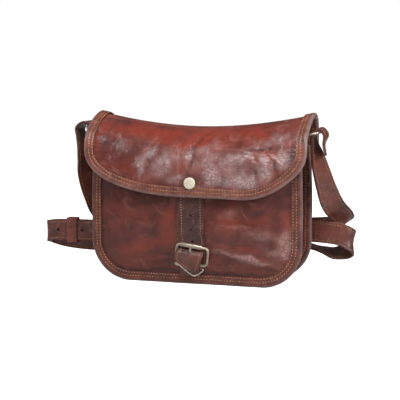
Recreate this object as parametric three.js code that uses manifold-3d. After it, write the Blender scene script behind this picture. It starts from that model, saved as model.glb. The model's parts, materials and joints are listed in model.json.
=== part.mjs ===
// A small leather flap bag with a closure strap and a buckled shoulder strap.
// Millimetres, +X to the bag's right as seen from the front, +Y to the back, +Z up.
import * as THREE from 'three';
import { mergeVertices } from 'three/addons/utils/BufferGeometryUtils.js';
import Module from 'manifold-3d';

const wasm = await Module();
wasm.setup();

// Body
const bagWidth = 240;
const bagHeight = 186;
const seamDepth = 60;
const cornerRadius = 46;
const topTaper = 2.5;
const mouthDrop = 44;
const backDrop = 34;
const seamAllowance = 12.5;
const bindingWidth = 11;
const frontBulge = 9;
const backBulge = 2.5;
const bulgeReach = 55;
const gussetBow = 2;

// Leather and clearance
const gap = 0.3;
const panelLeather = 1.8;
const gussetLeather = 1.6;
const bindingLeather = 1.1;
const flapLeather = 1.6;
const flapBindingGap = 0.9;

// Flap
const flapOverhang = 5.5;
const flapSag = 15;
const flapCornerDrop = 36;
const flapDrop = 52;
const flapLop = 7.5;
const flapRoundness = 2.3;

// Closure
const closureX = 1;
const closureShift = 2.4;
const backingWidth = 30.5;
const backingLeather = 1.4;
const billetWidth = 27.5;
const billetLeather = 1.9;
const holeDiameter = 3.6;
const holePitch = 15.5;
const holeRise = 27.3;
const backingFoot = 15.5;
const billetHead = 8.5;
const buckleHeight = 35;
const buckleRoll = -8;
const wireRadius = 1.5;
const frameHalfWidth = 17.7;
const frameTop = 11;
const frameBottom = -9.5;
const rollerWall = 0.7;
const rollerLength = 24.5;
const rollerShift = -2;
const prongWidth = 2.2;
const prongPlace = -1.4;
const prongSlot = 7.6;
const prongRise = 0.8;
const chapeWidth = 22;
const chapeLeather = 1.2;
const chapeLength = 15.5;
const loopWireRadius = 0.95;

// Press stud
const studInset = 15.5;
const studDiameter = 12.7;
const studThickness = 2.2;
const studShank = 3.2;
const studDisc = 1;
const studDiscRadius = 4.3;

// Shoulder strap and rings
const strapWidth = 25;
const strapLeather = 2.6;
const strapHolePitch = 15.5;
const strapLayerGap = 0.8;
const keeperLength = 12.5;
const keeperLeather = 1.6;
const strapBuckleLength = 22;
const strapBuckleBar = 3;
const strapBuckleThickness = 2.4;
const bundleDepth = 29;
const ringWire = 1.25;
const ringRise = 21;
const ringLiftLeft = 7.5;
const ringLiftRight = 5.2;
const ringLength = 27;
const ringWidth = 31;
const ringInnerCorner = 3.6;
const ringOuterCorner = 4.6;
const tabWidth = 22;
const tabLeather = 1.6;
const tabLength = 26;
const tabWaist = 9;

// Derived places
const mouthHeight = bagHeight - mouthDrop;
const backHeight = bagHeight - backDrop;
const flapCornerHeight = bagHeight - flapCornerDrop;
const studHeight = flapCornerHeight - flapDrop + studInset;
const ringHeight = mouthHeight + ringRise;
const halfWidth = bagWidth / 2;
const flapWidth = bagWidth + 2 * flapOverhang;
const halfDepth = seamDepth / 2;
const panelFace = halfDepth - bindingLeather - gap;
const flapShell = flapLeather / 2 + flapBindingGap;
const flapNose = flapShell + bindingLeather;
const closureStack = 3 * gap + backingLeather + billetLeather;
const flapFront = panelFace + 0.82 * frontBulge + closureStack + flapNose;
const flapBack = halfDepth + gap + flapNose;
const backFace = flapBack + flapNose;

const group = new THREE.Group();
const bag = new THREE.Group();
group.add(bag);

const degrees = (value) => THREE.MathUtils.degToRad(value);
const mix = THREE.MathUtils.lerp;
const smooth = THREE.MathUtils.smoothstep;
const vec = (x, y, z) => new THREE.Vector3(x, y, z);

const leather = (colour, roughness) => new THREE.MeshStandardMaterial({ color: colour, roughness, metalness: 0 });
const metal = (colour, roughness) => new THREE.MeshStandardMaterial({ color: colour, roughness, metalness: 0.9 });
const materials = {
  flap: leather(0x6e3127, 0.4),
  panel: leather(0x552420, 0.45),
  gusset: leather(0x4a211d, 0.5),
  binding: leather(0x6b4238, 0.4),
  strap: leather(0x3d201d, 0.5),
  keeper: leather(0x5e2c24, 0.5),
  nickel: metal(0xb3a595, 0.35),
  cap: metal(0xd8d0bd, 0.4),
};

function addPiece(name, geometry, material) {
  const mesh = new THREE.Mesh(geometry, material);
  mesh.name = name;
  bag.add(mesh);
  return mesh;
}

// Turns a list of points and triangles into a closed geometry with its faces pointing out.
function shell(points, triangles) {
  let volume = 0;
  for (const [a, b, c] of triangles) {
    volume += points[a].dot(vec(0, 0, 0).crossVectors(points[b], points[c]));
  }
  const faces = volume < 0 ? triangles.map(([a, b, c]) => [a, c, b]) : triangles;
  const geometry = new THREE.BufferGeometry();
  geometry.setAttribute('position', new THREE.Float32BufferAttribute(points.flatMap((p) => p.toArray()), 3));
  geometry.setIndex(faces.flat());
  return geometry;
}

// Skins a row of equal sections. The outline is the section's flat shape, which closes the two ends.
function loft(sections, outline, closed = false) {
  const count = sections[0].length;
  const triangles = [];
  const spans = closed ? sections.length : sections.length - 1;
  for (let i = 0; i < spans; i += 1) {
    const near = i * count;
    const far = ((i + 1) % sections.length) * count;
    for (let j = 0; j < count; j += 1) {
      const next = (j + 1) % count;
      triangles.push([near + j, far + j, near + next], [near + next, far + j, far + next]);
    }
  }
  if (!closed) {
    const flat = outline.map(([u, v]) => new THREE.Vector2(u, v));
    const last = (sections.length - 1) * count;
    const clockwise = THREE.ShapeUtils.isClockWise(flat);
    for (const [a, b, c] of THREE.ShapeUtils.triangulateShape(flat, [])) {
      const face = clockwise ? [a, c, b] : [a, b, c];
      triangles.push(face);
      triangles.push([last + face[0], last + face[2], last + face[1]]);
    }
  }
  return shell(sections.flat(), orientEnds(triangles, sections, count, closed));
}

// The end caps have to turn the same way as the skin beside them.
function orientEnds(triangles, sections, count, closed) {
  if (closed) return triangles;
  const skin = triangles.slice(0, (sections.length - 1) * count * 2);
  const caps = triangles.slice(skin.length);
  const directed = new Set(skin.flatMap(([a, b, c]) => [`${a},${b}`, `${b},${c}`, `${c},${a}`]));
  const clash = caps.some(([a, b, c]) => [[a, b], [b, c], [c, a]].some(([p, q]) => directed.has(`${p},${q}`)));
  return skin.concat(clash ? caps.map(([a, b, c]) => [a, c, b]) : caps);
}

// A grid of points becomes a sheet of leather of even thickness.
function sheet(rows, thickness) {
  const height = rows.length;
  const width = rows[0].length;
  const normals = rows.map((row, i) => row.map((point, j) => {
    const along = rows[i][Math.min(j + 1, width - 1)].clone().sub(rows[i][Math.max(j - 1, 0)]);
    const down = rows[Math.min(i + 1, height - 1)][j].clone().sub(rows[Math.max(i - 1, 0)][j]);
    return along.cross(down).normalize();
  }));
  const layer = (side) => rows.flatMap((row, i) => row.map((point, j) => (
    point.clone().addScaledVector(normals[i][j], side * thickness / 2))));
  const points = [...layer(1), ...layer(-1)];
  const back = width * height;
  const at = (i, j) => i * width + j;
  const triangles = [];
  const quad = (a, b, c, d) => triangles.push([a, b, c], [a, c, d]);
  for (let i = 0; i < height - 1; i += 1) {
    for (let j = 0; j < width - 1; j += 1) {
      quad(at(i, j), at(i, j + 1), at(i + 1, j + 1), at(i + 1, j));
      quad(back + at(i, j), back + at(i + 1, j), back + at(i + 1, j + 1), back + at(i, j + 1));
    }
  }
  for (let j = 0; j < width - 1; j += 1) {
    quad(at(0, j + 1), at(0, j), back + at(0, j), back + at(0, j + 1));
    quad(at(height - 1, j), at(height - 1, j + 1), back + at(height - 1, j + 1), back + at(height - 1, j));
  }
  for (let i = 0; i < height - 1; i += 1) {
    quad(at(i, 0), at(i + 1, 0), back + at(i + 1, 0), back + at(i, 0));
    quad(at(i + 1, width - 1), at(i, width - 1), back + at(i, width - 1), back + at(i + 1, width - 1));
  }
  return shell(points, triangles);
}

// A wire or rod along a path, round in section.
function wire(path, radius, closed, sides = 8) {
  const tangents = path.map((point, i) => {
    const last = path.length - 1;
    const before = closed ? path[(i + last) % path.length] : path[Math.max(i - 1, 0)];
    const after = closed ? path[(i + 1) % path.length] : path[Math.min(i + 1, last)];
    return after.clone().sub(before).normalize();
  });
  const plane = vec(0, 0, 0);
  path.forEach((point, i) => plane.add(vec(0, 0, 0).crossVectors(point, path[(i + 1) % path.length])));
  const up = plane.lengthSq() > 1 ? plane.normalize() : vec(0, 0, 1);
  const sections = path.map((point, i) => {
    const side = vec(0, 0, 0).crossVectors(tangents[i], up).normalize();
    const rise = vec(0, 0, 0).crossVectors(side, tangents[i]).normalize();
    return Array.from({ length: sides }, (_, k) => {
      const angle = (k + 0.5) / sides * Math.PI * 2;
      return point.clone().addScaledVector(side, Math.cos(angle) * radius)
        .addScaledVector(rise, Math.sin(angle) * radius);
    });
  });
  const outline = Array.from({ length: sides }, (_, k) => {
    const angle = (k + 0.5) / sides * Math.PI * 2;
    return [Math.cos(angle), Math.sin(angle)];
  });
  return loft(sections, outline, closed);
}

function toSolid(geometry) {
  const bare = geometry.clone();
  bare.deleteAttribute('normal');
  bare.deleteAttribute('uv');
  const merged = mergeVertices(bare, 1e-4);
  return new wasm.Manifold(new wasm.Mesh({
    numProp: 3,
    vertProperties: new Float32Array(merged.attributes.position.array),
    triVerts: new Uint32Array(merged.index.array),
  }));
}

// A cut can leave a sliver beside the piece, so only the largest body is kept.
function fromSolid(solid) {
  const mesh = solid.decompose().reduce((best, body) => (body.volume() > best.volume() ? body : best)).getMesh();
  const geometry = new THREE.BufferGeometry();
  geometry.setAttribute('position', new THREE.BufferAttribute(new Float32Array(mesh.vertProperties), 3));
  geometry.setIndex(new THREE.BufferAttribute(new Uint32Array(mesh.triVerts), 1));
  return geometry;
}

// Cuts round holes. Each hole has a place and the direction in which it runs through.
function punch(geometry, holes, diameter, depth) {
  let solid = toSolid(geometry);
  for (const { place, direction } of holes) {
    const drill = new THREE.CylinderGeometry(diameter / 2, diameter / 2, depth, 12);
    drill.applyQuaternion(new THREE.Quaternion().setFromUnitVectors(vec(0, 1, 0), direction.clone().normalize()));
    drill.translate(place.x, place.y, place.z);
    solid = solid.subtract(toSolid(drill));
  }
  return fromSolid(solid);
}

// Bag outline
function sideAt(height) {
  const bend = cornerRadius;
  if (height >= bend) {
    const rise = Math.max(0, (height - 75) / 75);
    return halfWidth - topTaper * rise * rise;
  }
  return halfWidth - bend + Math.sqrt(Math.max(0, bend * bend - (bend - height) * (bend - height)));
}

function edgeDistance(x, z) {
  const across = Math.abs(x) - (halfWidth - cornerRadius);
  if (across > 0 && z < cornerRadius) return cornerRadius - Math.hypot(across, cornerRadius - z);
  return Math.min(z, sideAt(z) - Math.abs(x));
}

// Stations down the left side, round the bottom and up the right side, each with its outward direction.
function seamStations(top) {
  const steps = { side: 4, corner: 6, bottom: 4 };
  const right = [];
  for (let i = 0; i <= steps.bottom / 2; i += 1) {
    right.push({ x: (halfWidth - cornerRadius) * i / (steps.bottom / 2), z: 0, out: vec(0, 0, -1) });
  }
  for (let i = 1; i <= steps.corner; i += 1) {
    const angle = degrees(90 * i / steps.corner);
    const out = vec(Math.sin(angle), 0, -Math.cos(angle));
    right.push({
      x: halfWidth - cornerRadius + cornerRadius * out.x,
      z: cornerRadius + cornerRadius * out.z,
      out,
    });
  }
  for (let i = 1; i <= steps.side; i += 1) {
    const z = mix(cornerRadius, top, i / steps.side);
    right.push({ x: sideAt(z), z, out: vec(1, 0, 0) });
  }
  const left = right.slice(1).map(({ x, z, out }) => ({ x: -x, z, out: vec(-out.x, 0, out.z) })).reverse();
  return [...left, ...right];
}

// Sweeps a flat section round the seam. Each corner is [distance outwards from the seam's edge, y].
function sweepSeam(section, top) {
  const sections = seamStations(top).map(({ x, z, out }) => section.map(([outward, y]) => (
    vec(x, y, z).addScaledVector(out, outward))));
  return loft(sections, section);
}

// Gives a flat path of [outward, y] an even wall.
function wallSection(path, thickness) {
  const offset = (side) => path.map(([u, v], i) => {
    const before = path[Math.max(i - 1, 0)];
    const after = path[Math.min(i + 1, path.length - 1)];
    const length = Math.hypot(after[0] - before[0], after[1] - before[1]);
    return [u - side * (after[1] - before[1]) / length * thickness / 2,
      v + side * (after[0] - before[0]) / length * thickness / 2];
  });
  return [...offset(1), ...offset(-1).reverse()];
}

const turnDepth = backFace + 0.18 * bundleDepth;
const turnHeight = 0.2345 * bagHeight;
const layerInset = bindingLeather + gap + (bindingLeather + gap + panelLeather) * 0.7;

function gussetGeometry() {
  const flange = panelFace - panelLeather - gap - gussetLeather / 2;
  const web = -seamAllowance - gussetLeather / 2;
  const half = [
    [-layerInset, flange],
    [web + 1.9, flange],
    [web, flange - 2],
    [web + gussetBow * 0.7, flange * 0.5],
  ];
  const path = [
    ...half.map(([u, v]) => [u, -v]),
    [web + gussetBow, 0],
    ...half.map(([u, v]) => [u, v]).reverse(),
  ];
  return sweepSeam(wallSection(path, gussetLeather), mouthHeight);
}

// A strip folded round the three layers of a seam.
function bindingGeometry(side, top) {
  const outer = halfDepth;
  const inner = halfDepth - 2 * bindingLeather - 3 * gap - panelLeather - gussetLeather;
  const middle = (outer + inner) / 2;
  const lining = (outer - inner) / 2 - bindingLeather;
  const nose = (outer - inner) / 2;
  const section = [
    [-bindingWidth, outer], [-nose * 0.75, outer], [-nose * 0.2, middle + nose * 0.7],
    [0, middle + nose * 0.35], [0, middle - nose * 0.35], [-nose * 0.2, middle - nose * 0.7],
    [-nose * 0.75, inner], [-bindingWidth, inner],
    [-bindingWidth, middle - lining], [-layerInset + gap, middle - lining],
    [-bindingLeather - gap * 0.4, middle - lining * 0.4], [-bindingLeather - gap * 0.4, middle + lining * 0.4],
    [-layerInset + gap, middle + lining], [-bindingWidth, middle + lining],
  ].map(([u, v]) => [u, side * v]);
  return sweepSeam(section, top);
}

// Dents and ridges pressed into the front leather, in shares of the bag's half width and height.
// reach and spread are the half lengths along and across the fold, as shares of the half width.
const panelFolds = [
  { x: 0.44, z: 0.185, reach: 0.24, spread: 0.045, turn: -12, height: 1.4 },
  { x: 0.52, z: 0.245, reach: 0.2, spread: 0.04, turn: -8, height: -1.2 },
  { x: 0.42, z: 0.4, reach: 0.12, spread: 0.1, turn: 0, height: -1.5 },
  { x: -0.5, z: 0.5, reach: 0.16, spread: 0.07, turn: 60, height: 1.0 },
  { x: -0.42, z: 0.2, reach: 0.2, spread: 0.05, turn: 10, height: 1.0 },
  { x: 0.62, z: 0.32, reach: 0.18, spread: 0.05, turn: -4, height: 1.2 },
];

const flapFolds = [
  { x: 0.62, z: 0.83, reach: 0.3, spread: 0.06, turn: -22, height: -2.4 },
  { x: 0.56, z: 0.745, reach: 0.26, spread: 0.06, turn: -24, height: 1.8 },
  { x: 0.02, z: 0.74, reach: 0.13, spread: 0.05, turn: 80, height: -1.6 },
  { x: 0.3, z: 0.68, reach: 0.16, spread: 0.06, turn: -60, height: 1.3 },
  { x: -0.48, z: 0.7, reach: 0.2, spread: 0.07, turn: 82, height: 1.8 },
  { x: -0.32, z: 0.72, reach: 0.2, spread: 0.06, turn: 84, height: -1.2 },
  { x: 0.42, z: 0.6, reach: 0.2, spread: 0.05, turn: -15, height: 1.2 },
];

function foldAt(folds, x, z) {
  let total = 0;
  for (const fold of folds) {
    const turn = degrees(fold.turn);
    const dx = x - fold.x * halfWidth;
    const dz = z - fold.z * bagHeight;
    const along = (dx * Math.cos(turn) + dz * Math.sin(turn)) / (fold.reach * halfWidth);
    const across = (dz * Math.cos(turn) - dx * Math.sin(turn)) / (fold.spread * halfWidth);
    total += fold.height * Math.exp(-along * along - across * across);
  }
  return total;
}

// The front panel's fullness falls off under the flap.
const fullness = [
  { z: 0.35, share: 1 },
  { z: 0.457, share: 0.93 },
  { z: 0.527, share: 0.76 },
  { z: 0.608, share: 0.56 },
  { z: 0.763, share: 0.3 },
];

function fullnessAt(z) {
  const height = z / bagHeight;
  const upper = fullness.findIndex((row) => row.z > height);
  if (upper === 0) return fullness[0].share;
  if (upper < 0) return fullness[fullness.length - 1].share;
  const [low, high] = [fullness[upper - 1], fullness[upper]];
  return mix(low.share, high.share, (height - low.z) / (high.z - low.z));
}

function bulgeAt(x, z, depth, fall) {
  const inwards = Math.max(0, edgeDistance(x, z) - bindingWidth - 1.8);
  const rise = 1 - (1 - Math.min(inwards / bulgeReach, 1)) ** 2;
  return depth * rise * (fall ? fullnessAt(z) : 1);
}

// How far the front leather's outer face stands forward of the bag's middle.
function frontFace(x, z) {
  const inside = smooth(edgeDistance(x, z), bindingWidth + 1, bindingWidth + 14);
  const middle = smooth(Math.abs(x), backingWidth * 0.55, backingWidth * 0.9);
  return panelFace + bulgeAt(x, z, frontBulge, true) + foldAt(panelFolds, x, z) * inside * middle;
}

function backFaceOfPanel(x, z) {
  return panelFace + bulgeAt(x, z, backBulge, false) * (1 - smooth(z, mouthHeight * 0.75, mouthHeight * 0.88));
}

// Rows run up from the bottom seam, columns across.
function panelGeometry(side, top, face) {
  const inset = layerInset;
  const inner = cornerRadius - inset;
  const heights = [0, 13, 24, 36, 48, 62, 76, 90].map((angle) => cornerRadius - inner * Math.cos(degrees(angle)));
  const straight = 5;
  for (let i = 1; i <= straight; i += 1) heights.push(mix(cornerRadius, top, i / straight));
  const margins = [0, bindingWidth - inset + 0.7, bindingWidth - inset + 5, bindingWidth + 9, bindingWidth + 22];
  const shares = [1, 0.68, 0.36];
  const rows = heights.map((z) => {
    const reach = z < cornerRadius
      ? halfWidth - cornerRadius + Math.sqrt(Math.max(0, inner * inner - (cornerRadius - z) ** 2))
      : sideAt(z) - inset;
    const core = reach - bindingWidth - 38;
    const right = [0, ...shares.map((share) => share * core).reverse(), ...margins.map((m) => reach - m).reverse()];
    const columns = [...right.slice(1).map((x) => -x).reverse(), ...right];
    return columns.map((x) => vec(x, side * (face(x, z) - panelLeather / 2), z));
  });
  return sheet(rows, panelLeather);
}

// The flap's profile from the back hem over the top to the front, at its ends and in its middle.
// back rows are shares of the flap's back plane, front rows of its front plane, heights of the bag's.
const flapProfile = [
  { endReach: 1, endHeight: 0.688, midReach: 1, midHeight: 0.688 },
  { endReach: 1, endHeight: 0.8, midReach: 1, midHeight: 0.785 },
  { endReach: 0.99, endHeight: 0.905, midReach: 0.98, midHeight: 0.925 },
  { endReach: 0.86, endHeight: 0.975, midReach: 0.84, midHeight: 0.985 },
  { endReach: 0.58, endHeight: 1, midReach: 0.5, midHeight: 1 },
  { endReach: 0.22, endHeight: 0.995, midReach: 0.12, midHeight: 0.997 },
  { endReach: -0.13, endHeight: 0.972, midReach: -0.24, midHeight: 0.972 },
  { endReach: -0.42, endHeight: 0.938, midReach: -0.53, midHeight: 0.92 },
  { endReach: -0.68, endHeight: 0.892, midReach: -0.76, midHeight: 0.845 },
  { endReach: -0.8, endHeight: 0.84, midReach: -0.9, midHeight: 0.77 },
  { endReach: -0.84, endHeight: 0.785, midReach: -0.965, midHeight: 0.69 },
  { endReach: -0.89, endHeight: 0.69, midReach: -0.995, midHeight: 0.61 },
  { endReach: -0.94, endHeight: 0.59, midReach: -1, midHeight: 0.53 },
  { endReach: -0.98, endHeight: 0.48, midReach: -1, midHeight: 0.42 },
];

function profileCurve(reachName, heightName, sag) {
  return new THREE.CatmullRomCurve3(flapProfile.map((row) => {
    const reach = row[reachName];
    const lift = smooth(row[heightName], 0.6, 0.95);
    return vec(0, reach * (reach > 0 ? flapBack : flapFront), row[heightName] * bagHeight - sag * lift);
  }));
}

const endCurve = profileCurve('endReach', 'endHeight', 0);
const midCurve = profileCurve('midReach', 'midHeight', flapSag);

function flapBase(x, along) {
  const blend = Math.min(1, Math.abs(x) / (flapWidth / 2)) ** 1.9;
  const point = midCurve.getPoint(along).lerp(endCurve.getPoint(along), blend);
  point.x = x;
  return point;
}

function flapPoint(x, along) {
  const base = flapBase(x, along);
  const front = smooth(-base.y, flapFront * 0.3, flapFront * 0.8);
  const edge = smooth(flapWidth / 2 - Math.abs(x), bindingWidth, bindingWidth * 2.4);
  const low = smooth(base.z - flapEdgeHeight(x, 0), bindingWidth, bindingWidth * 2.2);
  const crease = foldAt(flapFolds, x, base.z) * front * edge * low;
  base.y -= crease * 0.9;
  base.z += crease * 0.35;
  return base;
}

// Height of the flap's lower edge, a little lower to the right of the middle.
function flapEdgeHeight(x, inset) {
  const half = flapWidth / 2 - inset;
  const share = Math.min(1, Math.abs(x) / half);
  const round = (1 - share ** flapRoundness) ** (1 / flapRoundness);
  const lop = flapLop * Math.exp(-(((x - halfWidth * 0.64) / (halfWidth * 0.29)) ** 2));
  return flapCornerHeight - (flapDrop - inset) * round - lop * round;
}

// Where along the profile the flap meets its lower edge.
function flapEnd(x, inset) {
  const target = flapEdgeHeight(x, inset);
  let low = 0.55;
  let high = 1;
  for (let i = 0; i < 30; i += 1) {
    const middle = (low + high) / 2;
    if (flapBase(x, middle).z > target) low = middle;
    else high = middle;
  }
  return (low + high) / 2;
}

function flapNormal(x, along) {
  const step = 0.004;
  const across = flapPoint(x + 0.6, along).sub(flapPoint(x - 0.6, along));
  const down = flapPoint(x, Math.min(1, along + step)).sub(flapPoint(x, Math.max(0, along - step)));
  return across.cross(down).normalize();
}

const flapColumns = 18;
const flapRows = 19;

function flapX(column, inset) {
  return (flapWidth / 2 - inset) * Math.sin(degrees(-90 + 180 * column / flapColumns));
}

function flapGeometry() {
  const rows = [];
  for (let i = 0; i <= flapRows; i += 1) {
    const row = [];
    for (let j = 0; j <= flapColumns; j += 1) {
      const x = flapX(j, flapNose);
      row.push(flapPoint(x, flapEnd(x, flapNose) * i / flapRows));
    }
    rows.push(row);
  }
  return sheet(rows, flapLeather);
}

// The strip folded round the flap's two sides and its lower edge.
function flapBindingGeometry() {
  const insets = [bindingWidth, bindingWidth * 0.55, flapNose];
  const place = (station, inset) => {
    if (station.column === undefined) {
      const x = station.side * (flapWidth / 2 - inset);
      return { x, along: flapEnd(x, inset) * station.share };
    }
    const x = flapX(station.column, inset);
    return { x, along: flapEnd(x, inset) };
  };
  const stations = [];
  for (let i = 0; i < flapRows; i += 1) stations.push({ side: -1, share: i / flapRows });
  for (let j = 0; j <= flapColumns; j += 1) stations.push({ column: j });
  for (let i = flapRows - 1; i >= 0; i -= 1) stations.push({ side: 1, share: i / flapRows });
  const section = [
    [0, flapNose], [1, flapNose], [2, flapNose, 0.2], [2, 0, 1], [2, -flapNose, 0.2], [1, -flapNose],
    [0, -flapNose], [0, -flapShell], [1, -flapShell], [2, -flapShell, 0.2],
    [2, flapShell, 0.2], [1, flapShell], [0, flapShell],
  ];
  const sections = stations.map((station) => {
    const spots = insets.map((inset) => place(station, inset));
    const points = spots.map(({ x, along }) => flapPoint(x, along));
    const normals = spots.map(({ x, along }) => flapNormal(x, along));
    const outward = points[2].clone().sub(points[1]).normalize();
    return section.map(([spot, rise, nose = 0]) => points[spot].clone()
      .addScaledVector(normals[spot], rise)
      .addScaledVector(outward, nose * flapNose));
  });
  const outline = section.map(([spot, rise, nose = 0]) => [-insets[spot] + nose * flapNose, rise]);
  return loft(sections, outline);
}

// Ribbons: each station has a place, the direction of the strap's width and its two edges.
function ribbonFrames(stations, stepsPerSpan) {
  const places = new THREE.CatmullRomCurve3(stations.map((s) => s.place), false, 'centripetal');
  const widths = new THREE.CatmullRomCurve3(stations.map((s) => s.width), false, 'catmullrom');
  const edges = new THREE.CatmullRomCurve3(stations.map((s) => vec(s.left, s.right, 0)), false, 'catmullrom');
  const steps = (stations.length - 1) * stepsPerSpan;
  const frames = [];
  for (let i = 0; i <= steps; i += 1) {
    const share = i / steps;
    const tangent = places.getTangent(share);
    const width = widths.getPoint(share);
    width.addScaledVector(tangent, -width.dot(tangent)).normalize();
    const normal = vec(0, 0, 0).crossVectors(tangent, width).normalize();
    const edge = edges.getPoint(share);
    frames.push({ place: places.getPoint(share), width, normal, left: edge.x, right: edge.y });
  }
  return frames;
}

function ribbonGeometry(frames, thickness) {
  const half = thickness / 2;
  const sections = frames.map(({ place, width, normal, left, right }) => [
    [left, half], [right, half], [right, -half], [left, -half],
  ].map(([u, v]) => place.clone().addScaledVector(width, u).addScaledVector(normal, v)));
  return loft(sections, [[-1, 1], [1, 1], [1, -1], [-1, -1]]);
}

// Closure: a strip on the panel, a punched strap over it, and the buckle between.
function closureBackingGeometry() {
  const top = studHeight - studDiscRadius - 4 * gap;
  const heights = Array.from({ length: 12 }, (_, i) => mix(top, backingFoot, i / 11));
  const stations = heights.map((z) => ({
    place: vec(closureX - closureShift, -(frontFace(closureX, z) + gap + backingLeather / 2), z),
    width: vec(1, 0, 0),
    left: -backingWidth / 2,
    right: backingWidth / 2,
  }));
  return ribbonGeometry(ribbonFrames(stations, 1), backingLeather);
}

// The buckle's own frame: u to the right, v up and w out from the panel, turned a little on the bag.
const bucklePlace = vec(closureX, -frontFace(closureX, buckleHeight), buckleHeight);
const slope = (frontFace(closureX, buckleHeight + 1) - frontFace(closureX, buckleHeight - 1)) / 2;
const upwards = vec(0, -slope, 1).normalize();
const outwards = vec(0, -1, -slope).normalize();
const buckleU = vec(1, 0, 0).applyAxisAngle(outwards, degrees(buckleRoll));
const buckleV = upwards.clone().applyAxisAngle(outwards, degrees(buckleRoll));

function onBuckle(u, v, w) {
  return bucklePlace.clone().addScaledVector(buckleU, u).addScaledVector(buckleV, v).addScaledVector(outwards, w);
}

const billetLevel = gap + backingLeather + gap + billetLeather / 2;
const rollerRadius = wireRadius + gap + rollerWall;
const barLevel = billetLevel + billetLeather / 2 + gap + rollerRadius;
const chapeRadius = wireRadius + gap + chapeLeather;
const prongLevel = barLevel + wireRadius + gap + prongRise;

// The punched strap, from the stud under the flap to its slanted tip.
// v is a share of the roller's height in the frame, w of the bar's level, left and right of the strap's width.
const billetTip = [
  { v: 1.36, w: 0.385, left: -0.55, right: 0.45 },
  { v: 1, w: 0.405, left: -0.56, right: 0.445 },
  { v: 0.78, w: 0.45, left: -0.565, right: 0.45 },
  { v: 0.6, w: 0.725, left: -0.565, right: 0.46 },
  { v: 0.445, w: 1.23, left: -0.565, right: 0.465 },
  { v: 0.235, w: 1.73, left: -0.63, right: 0.47 },
  { v: -0.23, w: 1.865, left: -0.625, right: 0.445 },
  { v: -0.68, w: 1.865, left: -0.42, right: 0.4 },
  { v: -1.135, w: 1.775, left: -0.195, right: 0.35 },
  { v: -1.51, w: 1.51, left: 0.02, right: 0.3 },
  { v: -1.67, w: 1.39, left: 0.13, right: 0.255 },
];

function billetFrames() {
  const top = studHeight + billetHead;
  const foot = buckleHeight + 2 * frameTop;
  const upper = Array.from({ length: 8 }, (_, i) => mix(top, foot, i / 7)).map((z) => ({
    place: vec(closureX - closureShift, -(frontFace(closureX, z) + billetLevel), z),
    width: vec(1, 0, 0),
    left: -billetWidth / 2,
    right: billetWidth / 2,
  }));
  const lower = billetTip.map(({ v, w, left, right }) => ({
    place: onBuckle(0, v * frameTop, w * barLevel),
    width: buckleU.clone(),
    left: left * billetWidth,
    right: right * billetWidth,
  }));
  return ribbonFrames([...upper, ...lower], 2);
}

function nearest(frames, point) {
  return frames.reduce((best, frame) => (
    frame.place.distanceTo(point) < best.place.distanceTo(point) ? frame : best));
}

function billetGeometry(frames) {
  const centre = (frame) => frame.place.clone().addScaledVector(frame.width, (frame.left + frame.right) / 2);
  const holes = [0, 1].map((i) => {
    const z = buckleHeight + holeRise + i * holePitch;
    const frame = nearest(frames, vec(closureX - closureShift, -frontFace(closureX, z) - billetLevel, z));
    return { place: centre(frame), direction: frame.normal };
  });
  holes.push({ place: onBuckle(prongPlace, holePitch, billetLevel), direction: outwards });
  holes.push({ place: vec(0, -frontFace(0, studHeight) - billetLevel, studHeight), direction: vec(0, 1, 0) });
  const plain = punch(ribbonGeometry(frames, billetLeather), holes, holeDiameter, 8);
  const slot = new THREE.BoxGeometry(prongWidth + 3 * gap, prongSlot, prongSlot / 2);
  const turn = new THREE.Matrix4().makeBasis(buckleU, buckleV, outwards);
  slot.applyMatrix4(turn);
  const place = onBuckle(prongPlace, frameTop * 0.2 + prongSlot / 2, prongLevel);
  slot.translate(place.x, place.y, place.z);
  return fromSolid(toSolid(plain).subtract(toSolid(slot)));
}

// A rounded rectangle of points in the buckle's frame.
function roundedFrame(halfU, lowV, highV, radius, w) {
  const points = [];
  const corners = [
    { u: halfU - radius, v: highV - radius, from: 0 },
    { u: -halfU + radius, v: highV - radius, from: 90 },
    { u: -halfU + radius, v: lowV + radius, from: 180 },
    { u: halfU - radius, v: lowV + radius, from: 270 },
  ];
  for (const { u, v, from } of corners) {
    for (let i = 0; i <= 4; i += 1) {
      const angle = degrees(from + 90 * i / 4);
      points.push(onBuckle(u + radius * Math.cos(angle), v + radius * Math.sin(angle), w));
    }
  }
  return points;
}

function buckleFrameGeometry() {
  return wire(roundedFrame(frameHalfWidth, frameBottom, frameTop, 4.2, barLevel), wireRadius, true, 8);
}

// Places a geometry made round its own Y axis so that it lies across the buckle.
function acrossBuckle(geometry, u, v, w) {
  const turn = new THREE.Matrix4().makeBasis(buckleV.clone().negate(), buckleU, outwards);
  geometry.applyMatrix4(turn);
  const place = onBuckle(u, v, w);
  geometry.translate(place.x, place.y, place.z);
  return geometry;
}

function tubeGeometry(inner, outer, length, sides) {
  const profile = [[inner, -length / 2], [outer, -length / 2], [outer, length / 2], [inner, length / 2],
    [inner, -length / 2]].map(([r, y]) => new THREE.Vector2(r, y));
  return new THREE.LatheGeometry(profile, sides);
}

function buckleRollerGeometry() {
  return acrossBuckle(tubeGeometry(wireRadius + gap, rollerRadius, rollerLength, 14), rollerShift, frameTop, barLevel);
}

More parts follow.
